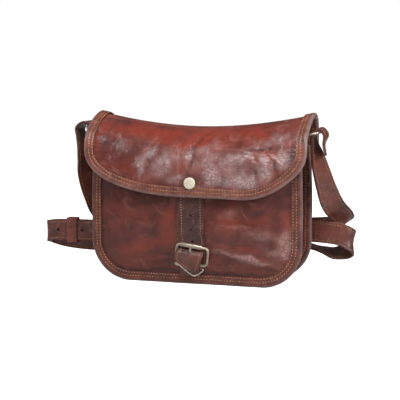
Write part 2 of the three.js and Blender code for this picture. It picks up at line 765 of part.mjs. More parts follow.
// The prong turns on the lower bar and its point lies against the roller.
function buckleProngGeometry() {
  const ring = acrossBuckle(tubeGeometry(wireRadius + gap, chapeRadius, prongWidth, 14), prongPlace,
    frameBottom, barLevel);
  const sections = [
    { v: frameBottom - prongWidth / 2, w: prongLevel, half: prongWidth / 2, thick: prongRise },
    { v: 0, w: prongLevel, half: prongWidth / 2, thick: prongRise },
    { v: frameTop / 2, w: prongLevel + 0.3, half: prongWidth / 2, thick: prongRise },
    {
      v: frameTop - gap,
      w: barLevel + rollerRadius + gap + prongRise * 0.8,
      half: prongWidth * 0.35,
      thick: prongRise * 0.75,
    },
  ].map(({ v, w, half, thick }) => [[-half, thick], [half, thick], [half, -thick], [-half, -thick]]
    .map(([u, rise]) => onBuckle(prongPlace + u, v, w + rise)));
  const shaft = loft(sections, [[-1, 1], [1, 1], [1, -1], [-1, -1]]);
  return fromSolid(toSolid(ring).add(toSolid(shaft)));
}

// Leather folded round the lower bar, with the wire loop's back leg in the same fold.
function buckleChapeGeometry() {
  const foot = frameBottom - chapeLength;
  const sink = frontFace(closureX, buckleHeight) + slope * foot - frontFace(closureX, buckleHeight + foot);
  const rest = 2 * gap + backingLeather;
  const base = rest - Math.max(0, sink) * 0.85;
  const throat = frameBottom - 2 * chapeRadius;
  const outline = new THREE.Shape();
  outline.moveTo(foot, base + 2 * chapeLeather);
  outline.lineTo(foot, base);
  outline.lineTo(frameBottom - chapeLength / 2, rest);
  outline.lineTo(frameBottom - chapeRadius, rest + chapeRadius / 3);
  outline.absarc(frameBottom, barLevel, chapeRadius, degrees(-110), degrees(100), false);
  outline.lineTo(foot + chapeLength / 3, base + 3 * chapeLeather);
  outline.closePath();
  const hollow = new THREE.Path();
  hollow.absarc(frameBottom, barLevel, wireRadius + gap, degrees(-100), degrees(100), false);
  hollow.lineTo(throat, barLevel - gap / 2);
  hollow.lineTo(throat - loopWireRadius, barLevel - wireRadius);
  hollow.lineTo(throat + gap, barLevel - chapeRadius);
  hollow.closePath();
  outline.holes.push(hollow);
  const body = new THREE.ExtrudeGeometry(outline, { depth: chapeWidth, bevelEnabled: false, curveSegments: 8 });
  body.translate(0, 0, -chapeWidth / 2 + prongPlace);
  const turn = new THREE.Matrix4().makeBasis(buckleV, outwards, buckleU.clone());
  body.applyMatrix4(turn);
  const place = onBuckle(0, 0, 0);
  body.translate(place.x, place.y, place.z);
  const slot = new THREE.BoxGeometry(prongWidth + 2 * gap, 12, 12);
  slot.applyMatrix4(new THREE.Matrix4().makeBasis(buckleU, buckleV, outwards));
  const centre = onBuckle(prongPlace, frameBottom + 3.2, barLevel);
  slot.translate(centre.x, centre.y, centre.z);
  return fromSolid(toSolid(body).subtract(toSolid(slot)));
}

// The thin loop below the strap's tip. u is a share of the frame's half width, v of its bottom's depth,
// w of the chape's radius from the bar's level.
const tipLoop = [
  { u: -0.735, v: 1.46, w: -0.46 },
  { u: 0, v: 1.46, w: -0.46 },
  { u: 0.68, v: 1.46, w: -0.46 },
  { u: 0.77, v: 1.58, w: -0.13 },
  { u: 0.655, v: 1.85, w: 0.2 },
  { u: 0.465, v: 2.17, w: 0.4 },
  { u: 0.26, v: 2.34, w: 0.53 },
  { u: 0.08, v: 2.19, w: 0.73 },
  { u: -0.43, v: 1.57, w: 1.07 },
  { u: -0.85, v: 1.06, w: 1.2 },
  { u: -0.97, v: 1.22, w: 0.8 },
  { u: -0.905, v: 1.43, w: 0 },
];

function tipLoopGeometry() {
  const curve = new THREE.CatmullRomCurve3(tipLoop.map(({ u, v, w }) => (
    onBuckle(u * frameHalfWidth, v * frameBottom, barLevel + w * chapeRadius))), true);
  return wire(curve.getPoints(28).slice(0, -1), loopWireRadius, true, 6);
}

// Press stud: a cap on the flap with its shank through flap and strap, and a disc behind the strap.
const studPlace = (() => {
  let along = 0.9;
  for (let i = 0; i < 20; i += 1) along += (flapBase(0, along).z - studHeight) * 0.004;
  return flapPoint(0, along);
})();

function latheAlongY(profile, sides, y) {
  const geometry = new THREE.LatheGeometry(profile.map(([r, h]) => new THREE.Vector2(r, h)), sides);
  geometry.translate(0, y, studHeight);
  return geometry;
}

const capSeat = studPlace.y - flapNose - gap;
const discSeat = -(frontFace(0, studHeight) + billetLevel - billetLeather / 2 - gap);

function studCapGeometry() {
  const radius = studDiameter / 2;
  return latheAlongY([
    [0, discSeat - capSeat - gap - 1.2], [studShank / 2, discSeat - capSeat - gap - 1.2],
    [studShank / 2, 0], [radius, 0], [radius, -studThickness * 0.45],
    [radius * 0.88, -studThickness * 0.9], [radius * 0.7, -studThickness], [0, -studThickness],
  ].reverse(), 20, capSeat);
}

// The disc leans with the strap behind which it sits.
function studDiscGeometry() {
  const bore = studShank / 2 + gap;
  const rim = studDiscRadius;
  const profile = [[bore, 0], [rim, 0], [rim, studDisc], [bore, studDisc], [bore, 0]];
  const geometry = new THREE.LatheGeometry(profile.map(([r, h]) => new THREE.Vector2(r, h)), 14);
  geometry.rotateX(Math.atan((frontFace(0, studHeight + rim) - frontFace(0, studHeight - rim)) / (2 * rim)));
  geometry.translate(0, discSeat, studHeight);
  return geometry;
}

// Rings at the two sides, their outer ends lifted by the strap, and the leather folds that hold them.
function ringGeometry(side, lift) {
  const near = halfWidth - seamAllowance;
  const far = near + ringLength;
  const corners = [
    { x: far, y: 1, radius: ringOuterCorner, from: 0 },
    { x: near, y: 1, radius: ringInnerCorner, from: 90 },
    { x: near, y: -1, radius: ringInnerCorner, from: 180 },
    { x: far, y: -1, radius: ringOuterCorner, from: 270 },
  ];
  const path = corners.flatMap(({ x, y, radius, from }) => Array.from({ length: 5 }, (_, i) => {
    const angle = degrees(from + 90 * i / 4);
    const middle = x === far ? far - radius : near + radius;
    const reach = middle + radius * Math.cos(angle) - near;
    return vec(side * (near + reach * Math.cos(Math.asin(lift / ringLength))),
      y * (ringWidth / 2 - radius) + radius * Math.sin(angle), ringHeight + reach * lift / ringLength);
  }));
  return wire(path, ringWire, true, 6);
}

function ringTabGeometry(side) {
  const foot = mouthHeight - tabLength;
  const face = (z) => sideAt(z) - seamAllowance + gussetBow + gap;
  const legX = halfWidth - seamAllowance;
  const outer = ringWire + gap + tabLeather;
  const outline = new THREE.Shape();
  outline.moveTo(face(foot), foot);
  outline.lineTo(face(foot) + 2 * tabLeather, foot);
  outline.lineTo(face(mouthHeight) + 2 * tabLeather, ringHeight - 2 * outer - tabWaist);
  outline.absarc(legX, ringHeight, outer, degrees(-25), degrees(195), false);
  outline.lineTo(face(mouthHeight), ringHeight - 2 * outer - tabWaist);
  outline.closePath();
  const hollow = new THREE.Path();
  hollow.absarc(legX, ringHeight, ringWire + gap, 0, Math.PI * 2, false);
  outline.holes.push(hollow);
  const body = new THREE.ExtrudeGeometry(outline, { depth: tabWidth, bevelEnabled: false, curveSegments: 7 });
  body.applyMatrix4(new THREE.Matrix4().makeBasis(vec(1, 0, 0), vec(0, 0, 1), vec(0, -1, 0)));
  body.translate(0, tabWidth / 2, 0);
  if (side > 0) return body;
  return shell(...mirrored(body));
}

function mirrored(geometry) {
  const bare = geometry.clone();
  bare.deleteAttribute('normal');
  bare.deleteAttribute('uv');
  const merged = mergeVertices(bare, 1e-4);
  const position = merged.attributes.position;
  const points = Array.from({ length: position.count }, (_, i) => (
    vec(-position.getX(i), position.getY(i), position.getZ(i))));
  const index = merged.index.array;
  const triangles = Array.from({ length: index.length / 3 }, (_, i) => [
    index[3 * i], index[3 * i + 1], index[3 * i + 2]]);
  return [points, triangles];
}

// Shoulder strap stations. side and out give x: a share of the half width and of the strap's width.
// depth is a share of the way to the bag's back face and behind a share of the bundle's depth behind it.
// up is a share of the bag's height, or else hang gives the height over the ring in strap widths. over
// counts strap layers, spread opens them at a turn, and w is the direction of the strap's width.
const leftLoop = [
  { side: -1, out: -0.34, depth: 0.03, hang: -0.52, w: [0, 1, 0] },
  { side: -1, out: -0.31, depth: 0, hang: -0.12, w: [0, 1, 0] },
  { side: -1, out: -0.31, depth: 0, hang: 0.25, w: [0, 1, 0] },
  { side: -1, out: -0.63, depth: 0, hang: 0.51, w: [0, 1, 0] },
  { side: -1, out: -1.02, depth: 0, hang: 0.27, w: [0, 1, 0] },
  { side: -1, out: -0.96, depth: 0.01, hang: -0.19, w: [0.05, 1, 0] },
  { side: -1, out: -0.87, depth: 0.03, up: 0.78, w: [0.2, 0.98, 0] },
  { side: -1, out: -0.83, depth: 0.11, up: 0.71, w: [0.4, 0.9, 0] },
  { side: -1, out: -0.86, depth: 0.28, up: 0.634, w: [0.6, 0.8, 0] },
  { side: -1, out: -0.87, depth: 0.56, up: 0.545, w: [0.7, 0.71, 0.05] },
  { side: -1, out: -0.86, depth: 0.88, up: 0.462, w: [0.72, 0.65, 0.15] },
];

const lowLeg = [
  { side: -1, out: -0.83, depth: 1, behind: 0.25, up: 0.386, w: [0.72, 0.6, 0.25] },
  { side: -1, out: -0.7, depth: 1, behind: 0.63, up: 0.335, w: [0.5, 0.45, 0.75] },
  { side: -1, out: -0.2, depth: 1, behind: 0.92, up: 0.3, w: [0.2, 0.15, 0.96] },
  { side: -0.87, out: 0, depth: 1, behind: 1, up: 0.283, w: [0.05, 0.03, 1] },
  { side: -0.67, out: 0, depth: 1, behind: 1, up: 0.27, w: [0, 0, 1] },
  { side: -0.33, out: 0, depth: 1, behind: 1, up: 0.248, w: [0, 0, 1] },
  { side: 0, out: 0, depth: 1, behind: 1, up: 0.232, w: [0, 0.05, 1] },
  { side: 0.33, out: 0, depth: 1, behind: 0.98, up: 0.22, w: [0, 0.2, 0.97] },
  { side: 0.62, out: 0, depth: 1, behind: 0.95, up: 0.207, w: [0, 0.6, 0.8] },
  { side: 0.83, out: 0, depth: 1, behind: 0.93, up: 0.19, w: [0, 0.97, 0.2] },
  { side: 0.96, out: 0, depth: 1, behind: 0.93, up: 0.174, w: [0, 1, 0] },
  { side: 1, out: 0.32, depth: 1, behind: 0.93, up: 0.158, w: [0, 1, 0.1] },
  { side: 1, out: 0.8, depth: 1, behind: 0.93, up: 0.143, w: [0, 0.95, 0.35] },
  { side: 1, out: 1.2, depth: 1, behind: 0.9, up: 0.156, w: [0, 0.8, 0.6] },
  { side: 1, out: 1.5, depth: 1, behind: 0.8, up: 0.179, w: [-0.1, 0.5, 0.85] },
  { side: 1, out: 1.68, depth: 1, behind: 0.6, up: 0.213, w: [0, 0.2, 1] },
  { side: 1, out: 1.6, depth: 1, behind: 0.4, up: 0.244, w: [0, 0.05, 1] },
  { side: 1, out: 1.28, depth: 1, behind: 0.27, up: 0.27, w: [0, 0, 1] },
  { side: 1, out: 0.8, depth: 1, behind: 0.25, up: 0.282, w: [0, 0, 1] },
  { side: 0.8, out: 0, depth: 1, behind: 0.18, over: 0.96, up: 0.288, w: [0, 0, 1] },
  { side: 0, out: 0, depth: 1, behind: 0.18, over: 0.96, up: 0.26, w: [0, 0, 1] },
  { side: -0.6, out: 0, depth: 1, behind: 0.18, over: 0.96, up: 0.241, w: [0, 0, 1] },
  { side: -0.8, out: 0, depth: 1, behind: 0.18, over: 0.96, up: 0.239, w: [0, 0, 1] },
  { side: -0.93, out: 0, depth: 1, behind: 0.18, over: 0.98, up: 0.2375, w: [0, 0, 1] },
  { side: -1, out: -0.08, depth: 1, behind: 0.18, over: 0.86, up: 0.237, w: [0, 0, 1] },
  { side: -1, out: -0.32, depth: 1, behind: 0.18, over: 0, up: 0.2365, w: [0, 0, 1] },
  { side: -1, out: -0.56, depth: 1, behind: 0.18, over: -0.86, up: 0.236, w: [0, 0, 1] },
  { side: -1, out: -0.75, depth: 1, behind: 0.18, over: -0.98, up: 0.2355, w: [0, 0, 1] },
];

// Both halves lie on each other here, so both read these rows.
const leftTurn = [
  { side: -1, out: -1.2, depth: 1, behind: 0.18, up: 0.235, w: [0, 0, 1] },
  { side: -1, out: -2, depth: 1, behind: 0.18, up: 0.234, w: [0, 0, 1] },
  { side: -1, out: -3.02, depth: 1, behind: 0.18, up: 0.23, spread: 1.1, w: [0, 0, 1] },
  { side: -1, out: -3.3, depth: 1, behind: 0.3, up: 0.221, spread: 1.4, w: [0, 0, 1] },
  { side: -1, out: -3.38, depth: 1, behind: 0.47, up: 0.207, spread: 1.45, w: [0, 0, 1] },
  { side: -1, out: -3.24, depth: 1, behind: 0.64, up: 0.19, spread: 1.4, w: [0, 0, 1] },
  { side: -1, out: -2.88, depth: 1, behind: 0.72, up: 0.174, spread: 1.3, w: [0, 0, 1] },
  { side: -1, out: -2.2, depth: 1, behind: 0.75, up: 0.162, spread: 1.1, w: [0, 0, 1] },
  { side: -1, out: -1.6, depth: 1, behind: 0.75, up: 0.158, w: [0, 0, 1] },
];

// The short half starts at its buckle.
const shortStart = [
  { side: -1, out: -0.78, depth: 1, behind: 0.18, up: 0.2355, w: [0, 0, 1] },
];

const farLeg = [
  { side: -1, out: -0.9, depth: 1, behind: 0.75, up: 0.158, w: [0, 0, 1] },
  { side: -1, out: 0, depth: 1, behind: 0.75, up: 0.168, w: [0, 0, 1] },
  { side: -0.5, out: 0, depth: 1, behind: 0.73, up: 0.2, w: [0, 0, 1] },
  { side: 0, out: 0, depth: 1, behind: 0.72, up: 0.237, w: [0, 0, 1] },
  { side: 0.5, out: 0, depth: 1, behind: 0.7, up: 0.27, w: [0, 0, 1] },
  { side: 0.92, out: 0, depth: 1, behind: 0.71, up: 0.293, w: [0, 0, 1] },
  { side: 1, out: 0.48, depth: 1, behind: 0.76, up: 0.301, w: [0, 0.05, 1] },
  { side: 1, out: 0.96, depth: 1, behind: 0.81, up: 0.309, w: [0.15, 0.3, 0.94] },
  { side: 1, out: 1.25, depth: 1, behind: 0.77, up: 0.328, w: [0.5, 0.62, 0.6] },
  { side: 1, out: 1.27, depth: 1, behind: 0.6, up: 0.366, w: [0.85, 0.3, 0.3] },
  { side: 1, out: 1.13, depth: 1, behind: 0.36, up: 0.403, w: [0.93, 0.25, 0.2] },
  { side: 1, out: 0.97, depth: 1, behind: 0.02, up: 0.441, w: [0.85, 0.4, 0.25] },
];

const rightLoop = [
  { side: 1, out: 0.83, depth: 0.74, up: 0.495, w: [0.74, 0.62, 0.18] },
  { side: 1, out: 0.7, depth: 0.45, up: 0.573, w: [0.6, 0.79, 0.1] },
  { side: 1, out: 0.58, depth: 0.22, up: 0.653, w: [0.52, 0.86, 0.04] },
  { side: 1, out: 0.49, depth: 0.12, up: 0.708, w: [0.46, 0.89, 0] },
  { side: 1, out: 0.39, depth: 0.05, up: 0.77, w: [0.32, 0.95, 0] },
  { side: 1, out: 0.31, depth: 0.01, hang: -0.4, w: [0.1, 1, 0] },
  { side: 1, out: 0.28, depth: 0, hang: 0.06, w: [0, 1, 0] },
  { side: 1, out: 0.54, depth: 0, hang: 0.36, w: [0, 1, 0] },
  { side: 1, out: 0.78, depth: 0, hang: 0.1, w: [0, 1, 0] },
  { side: 1, out: 0.7, depth: 0, hang: -0.32, w: [-0.14, 0.99, 0] },
  { side: 1, out: 0.78, depth: 0, hang: -0.78, w: [-0.2, 0.98, 0] },
];

function strapStations(rows, layer) {
  return rows.map(({ side, out, depth, behind = 0, up, hang, w, spread = 1, over = layer * spread }) => ({
    place: vec(
      side * halfWidth + out * strapWidth,
      depth * backFace + behind * bundleDepth,
      hang === undefined ? up * bagHeight : ringHeight + hang * strapWidth,
    ),
    width: vec(...w),
    left: -strapWidth / 2,
    right: strapWidth / 2,
    layer: over,
  }));
}

// Moves the stations of the covered stretch sideways by whole strap thicknesses.
function strapFrames(stations) {
  const shifted = stations.map((station, i) => {
    if (!station.layer) return station;
    const before = stations[Math.max(i - 1, 0)].place;
    const after = stations[Math.min(i + 1, stations.length - 1)].place;
    const tangent = after.clone().sub(before).normalize();
    const normal = vec(0, 0, 0).crossVectors(tangent, station.width).normalize();
    const place = station.place.clone().addScaledVector(normal, station.layer * (strapLeather + strapLayerGap));
    return { ...station, place };
  });
  return ribbonFrames(shifted, 2);
}

const longFrames = strapFrames([
  ...strapStations(leftLoop, 0),
  ...strapStations(lowLeg, 0),
  ...strapStations(leftTurn, -1),
]);
const shortFrames = strapFrames([
  ...strapStations(shortStart, 0),
  ...strapStations(leftTurn, 0),
  ...strapStations(farLeg, 0),
  ...strapStations(rightLoop, 0),
]);

function strapLongGeometry() {
  const first = -halfWidth - strapWidth * 2.84;
  const holes = Array.from({ length: 5 }, (_, i) => {
    const frame = nearest(longFrames, vec(first + i * strapHolePitch, turnDepth - strapLeather, turnHeight));
    const place = frame.place.clone();
    place.x = first + i * strapHolePitch;
    return { place, direction: frame.normal };
  });
  return punch(ribbonGeometry(longFrames, strapLeather), holes, holeDiameter, 8);
}

function strapShortGeometry() {
  const frame = nearest(shortFrames, vec(halfWidth + strapWidth * 0.3, 0, 0.924 * ringHeight));
  return punch(ribbonGeometry(shortFrames, strapLeather), [{ place: frame.place, direction: frame.normal }],
    holeDiameter, 6);
}

// A box with a square opening right through it along X.
function sleeveGeometry(length, innerY, innerZ, wall) {
  const shape = new THREE.Shape();
  const y = innerY / 2 + wall;
  const z = innerZ / 2 + wall;
  shape.moveTo(-y, -z).lineTo(y, -z).lineTo(y, z).lineTo(-y, z).closePath();
  const hole = new THREE.Path();
  hole.moveTo(-innerY / 2, -innerZ / 2).lineTo(-innerY / 2, innerZ / 2);
  hole.lineTo(innerY / 2, innerZ / 2).lineTo(innerY / 2, -innerZ / 2).closePath();
  shape.holes.push(hole);
  const body = new THREE.ExtrudeGeometry(shape, { depth: length, bevelEnabled: false });
  body.applyMatrix4(new THREE.Matrix4().makeBasis(vec(0, 1, 0), vec(0, 0, 1), vec(1, 0, 0)));
  body.translate(-length / 2, 0, 0);
  return body;
}

function strapKeeperGeometry() {
  const inner = 2 * strapLeather + strapLayerGap + 5 * gap;
  const body = sleeveGeometry(keeperLength, inner, strapWidth + 5 * gap, keeperLeather);
  body.translate(-halfWidth - strapWidth * 2.12, turnDepth - (strapLeather + strapLayerGap) / 2, turnHeight);
  return body;
}

// The strap's own buckle, behind the bag: a plain frame that the long half runs through.
function strapBuckleGeometry() {
  const x = strapBuckleLength / 2;
  const z = strapWidth / 2 + 4 * gap + strapBuckleBar;
  const inset = strapBuckleBar;
  const shape = new THREE.Shape();
  shape.moveTo(-x, -z).lineTo(x, -z).lineTo(x, z).lineTo(-x, z).closePath();
  const hole = new THREE.Path();
  hole.moveTo(-x + inset, -z + inset).lineTo(-x + inset, z - inset);
  hole.lineTo(x - inset, z - inset).lineTo(x - inset, -z + inset).closePath();
  shape.holes.push(hole);
  const body = new THREE.ExtrudeGeometry(shape, { depth: strapBuckleThickness, bevelEnabled: false });
  body.applyMatrix4(new THREE.Matrix4().makeBasis(vec(1, 0, 0), vec(0, 0, 1), vec(0, -1, 0)));
  body.translate(-halfWidth - strapWidth * 0.32, turnDepth + strapBuckleThickness / 2, turnHeight);
  return body;
}

addPiece('front_panel', panelGeometry(-1, mouthHeight, frontFace), materials.panel);
addPiece('back_panel', panelGeometry(1, backHeight, backFaceOfPanel), materials.panel);
addPiece('gusset', gussetGeometry(), materials.gusset);
addPiece('front_binding', bindingGeometry(-1, mouthHeight), materials.binding);
addPiece('back_binding', bindingGeometry(1, backHeight), materials.binding);
const flapHole = [{ place: vec(0, studPlace.y, studHeight), direction: vec(0, 1, 0) }];
addPiece('flap', punch(flapGeometry(), flapHole, studShank + 2 * gap + 0.2, 8), materials.flap);
addPiece('flap_binding', flapBindingGeometry(), materials.binding);
addPiece('closure_backing', closureBackingGeometry(), materials.strap);
addPiece('closure_strap', billetGeometry(billetFrames()), materials.strap);
addPiece('buckle_frame', buckleFrameGeometry(), materials.nickel);
addPiece('buckle_roller', buckleRollerGeometry(), materials.nickel);
addPiece('buckle_prong', buckleProngGeometry(), materials.nickel);
addPiece('buckle_chape', buckleChapeGeometry(), materials.strap);
addPiece('tip_loop', tipLoopGeometry(), materials.nickel);
addPiece('stud_cap', studCapGeometry(), materials.cap);
addPiece('stud_disc', studDiscGeometry(), materials.nickel);
for (const [name, side, lift] of [['right', 1, ringLiftRight], ['left', -1, ringLiftLeft]]) {
  addPiece(`ring_${name}`, ringGeometry(side, lift), materials.nickel);
  addPiece(`ring_tab_${name}`, ringTabGeometry(side), materials.keeper);
}
addPiece('strap_long', strapLongGeometry(), materials.strap);
addPiece('strap_short', strapShortGeometry(), materials.strap);
addPiece('strap_keeper', strapKeeperGeometry(), materials.keeper);
addPiece('strap_buckle', strapBuckleGeometry(), materials.nickel);

const box = new THREE.Box3().setFromObject(bag);
bag.position.set(-(box.min.x + box.max.x) / 2, -(box.min.y + box.max.y) / 2, -box.min.z);

export default group;
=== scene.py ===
# A small leather flap bag with a buckled closure strap and its shoulder strap bundled behind it.
# Shapes are worked out in millimetres from the middle of the bag, on the surface that it stands on.
import json
import math

import bpy
import numpy as np
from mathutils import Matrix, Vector

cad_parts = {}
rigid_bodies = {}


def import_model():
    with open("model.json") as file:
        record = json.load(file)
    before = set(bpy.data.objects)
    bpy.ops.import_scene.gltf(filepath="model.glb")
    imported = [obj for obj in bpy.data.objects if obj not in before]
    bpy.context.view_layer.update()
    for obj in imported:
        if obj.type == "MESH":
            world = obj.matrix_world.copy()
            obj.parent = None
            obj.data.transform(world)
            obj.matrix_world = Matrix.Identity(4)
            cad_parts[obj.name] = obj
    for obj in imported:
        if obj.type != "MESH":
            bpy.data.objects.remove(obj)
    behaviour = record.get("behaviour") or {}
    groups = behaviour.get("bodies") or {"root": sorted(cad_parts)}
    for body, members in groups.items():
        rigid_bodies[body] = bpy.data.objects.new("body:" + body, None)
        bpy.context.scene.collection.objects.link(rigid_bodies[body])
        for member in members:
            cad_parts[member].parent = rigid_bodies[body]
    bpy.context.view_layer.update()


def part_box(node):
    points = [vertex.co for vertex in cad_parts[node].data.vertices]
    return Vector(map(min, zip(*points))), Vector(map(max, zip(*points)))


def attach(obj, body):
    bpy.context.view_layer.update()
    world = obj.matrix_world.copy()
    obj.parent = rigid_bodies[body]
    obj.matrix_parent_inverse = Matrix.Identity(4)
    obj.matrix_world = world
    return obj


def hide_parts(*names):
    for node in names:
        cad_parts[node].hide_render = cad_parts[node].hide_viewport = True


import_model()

# Studio.
# The camera stands at the photograph's angle with a long lens, a little to the bag's right and just
# above it. One large sheet of paper is the floor. It glows for the camera alone, so it looks white and
# lights nothing, and large soft lights stand over, beside and behind the bag.
MM = 0.001
FRONT_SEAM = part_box("front_binding")
BACK_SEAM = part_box("back_binding")
MIDDLE = np.array([(FRONT_SEAM[0].x + FRONT_SEAM[1].x) / 2, (FRONT_SEAM[0].y + BACK_SEAM[1].y) / 2, 0.0])


def in_frame(points):
    return np.asarray(points, dtype=float) * MM + MIDDLE


CAMERA_AZIMUTH = math.radians(16.5)
CAMERA_ELEVATION = math.radians(7.0)
CAMERA_DISTANCE = 1200
CAMERA_AIM = (0, 0, 90)
CAMERA_LENS, SENSOR_WIDTH, SIDE_SHIFT = 96.4, 36, -0.004
backwards = Vector((math.sin(CAMERA_AZIMUTH) * math.cos(CAMERA_ELEVATION),
                    -math.cos(CAMERA_AZIMUTH) * math.cos(CAMERA_ELEVATION), math.sin(CAMERA_ELEVATION)))
bpy.ops.object.camera_add(location=Vector(in_frame(CAMERA_AIM)) + backwards * CAMERA_DISTANCE * MM)
camera = bpy.context.object
camera.rotation_euler = backwards.to_track_quat("Z", "Y").to_euler()
camera.data.lens = CAMERA_LENS
camera.data.sensor_width = SENSOR_WIDTH
camera.data.shift_x = SIDE_SHIFT
bpy.context.scene.camera = camera

PAPER_COLOUR = (0.5, 0.49, 0.48, 1)
FLOOR_GLOW, AIR_LIGHT = 1.0, 0.09
FLOOR_SIZE = 40.0
bpy.ops.object.select_all(action="DESELECT")
bpy.ops.mesh.primitive_plane_add(size=FLOOR_SIZE)
floor = bpy.context.object
floor.name = "studio_floor"
paper = bpy.data.materials.new("studio_paper")
paper.use_nodes = True
sheet = paper.node_tree.nodes["Principled BSDF"]
watched = paper.node_tree.nodes.new("ShaderNodeLightPath")
glow = paper.node_tree.nodes.new("ShaderNodeMath")
glow.operation = "MULTIPLY"
glow.inputs[1].default_value = FLOOR_GLOW
paper.node_tree.links.new(watched.outputs["Is Camera Ray"], glow.inputs[0])
paper.node_tree.links.new(glow.outputs[0], sheet.inputs["Emission Strength"])
sheet.inputs["Base Color"].default_value = PAPER_COLOUR
sheet.inputs["Roughness"].default_value = 0.9
sheet.inputs["Emission Color"].default_value = (1, 1, 1, 1)
floor.data.materials.append(paper)

world = bpy.data.worlds.new("studio_air")
world.use_nodes = True
air = world.node_tree.nodes["Background"]
air.inputs["Color"].default_value = (1.0, 1.0, 1.0, 1)
seen = world.node_tree.nodes.new("ShaderNodeLightPath")
level = world.node_tree.nodes.new("ShaderNodeMapRange")
level.inputs["To Min"].default_value = AIR_LIGHT
level.inputs["To Max"].default_value = 1.0
world.node_tree.links.new(seen.outputs["Is Camera Ray"], level.inputs["Value"])
world.node_tree.links.new(level.outputs["Result"], air.inputs["Strength"])
bpy.context.scene.world = world
bpy.context.scene.view_settings.view_transform = "Standard"


def soft_light(name, azimuth, elevation, distance, size, watts, height=0.1):
    """A square lamp that looks at the bag, from an angle round it and over the floor."""
    turn, rise = math.radians(azimuth), math.radians(elevation)
    way = Vector((math.sin(turn) * math.cos(rise), -math.cos(turn) * math.cos(rise), math.sin(rise)))
    bpy.ops.object.light_add(type="AREA", location=way * distance + Vector((0, 0, height)))
    lamp = bpy.context.object
    lamp.name = name
    lamp.rotation_euler = way.to_track_quat("Z", "Y").to_euler()
    lamp.data.energy = watts
    lamp.data.size = size
    return lamp


soft_light("over_light", 22, 54, 1.0, 0.5, 8.5)
soft_light("left_light", -62, 26, 1.2, 0.4, 3.4)
soft_light("front_fill", 12, 6, 1.5, 0.9, 6).visible_glossy = False
soft_light("back_light", 196, 38, 1.4, 0.7, 7).visible_glossy = False
soft_light("right_light", 74, 24, 1.2, 0.4, 8)

# Front panel.
# One piece of waxed hide that is sewn between the front binding and the gusset. Its margin lies flat in
# the seam and its middle is full and rounded, with dents and a crease low on the right.
BAG_WIDTH, BAG_HEIGHT, SEAM_DEPTH = 240, 186, 60
CORNER, TOP_TAPER = 46, 2.5
TAPER_START, TAPER_LENGTH = 75, 75
MOUTH_HEIGHT, BACK_HEIGHT = 142, 152
BINDING_WIDTH, BINDING_WALL, GAP = 11, 1.1, 0.3
PANEL_WALL = 1.8
FRONT_BULGE, BULGE_REACH = 9, 55
BACKING_WIDTH = 30.5
HALF_WIDTH, HALF_DEPTH = BAG_WIDTH / 2, SEAM_DEPTH / 2
PANEL_FACE = HALF_DEPTH - BINDING_WALL - GAP
LAYER_INSET = BINDING_WALL + GAP + (BINDING_WALL + GAP + PANEL_WALL) * 0.7
# Dents and ridges: places in shares of the half width and of the height, half lengths in shares of the
# half width, turn in degrees and height in millimetres.
PANEL_FOLDS = [
    dict(x=0.44, z=0.185, reach=0.24, spread=0.045, turn=-12, height=1.4),
    dict(x=0.52, z=0.245, reach=0.2, spread=0.04, turn=-8, height=-1.2),
    dict(x=0.42, z=0.4, reach=0.12, spread=0.1, turn=0, height=-1.5),
    dict(x=-0.5, z=0.5, reach=0.16, spread=0.07, turn=60, height=1.0),
    dict(x=-0.42, z=0.2, reach=0.2, spread=0.05, turn=10, height=1.0),
    dict(x=0.62, z=0.32, reach=0.18, spread=0.05, turn=-4, height=1.2),
]
# Finer marks than the panel's main dents.
PANEL_MARKS = [
    dict(x=0.56, z=0.215, reach=0.26, spread=0.016, turn=-9, height=0.9),
    dict(x=0.5, z=0.19, reach=0.2, spread=0.014, turn=-13, height=-0.7),
    dict(x=0.72, z=0.36, reach=0.12, spread=0.02, turn=-10, height=0.7),
    dict(x=0.3, z=0.33, reach=0.1, spread=0.02, turn=20, height=0.5),
    dict(x=-0.3, z=0.42, reach=0.14, spread=0.02, turn=-35, height=0.5),
    dict(x=-0.62, z=0.3, reach=0.16, spread=0.022, turn=70, height=-0.6),
    dict(x=-0.36, z=0.14, reach=0.16, spread=0.016, turn=8, height=0.5),
]
FULLNESS = [
    dict(z=0.35, share=1),
    dict(z=0.457, share=0.93),
    dict(z=0.527, share=0.76),
    dict(z=0.608, share=0.56),
    dict(z=0.763, share=0.3),
]
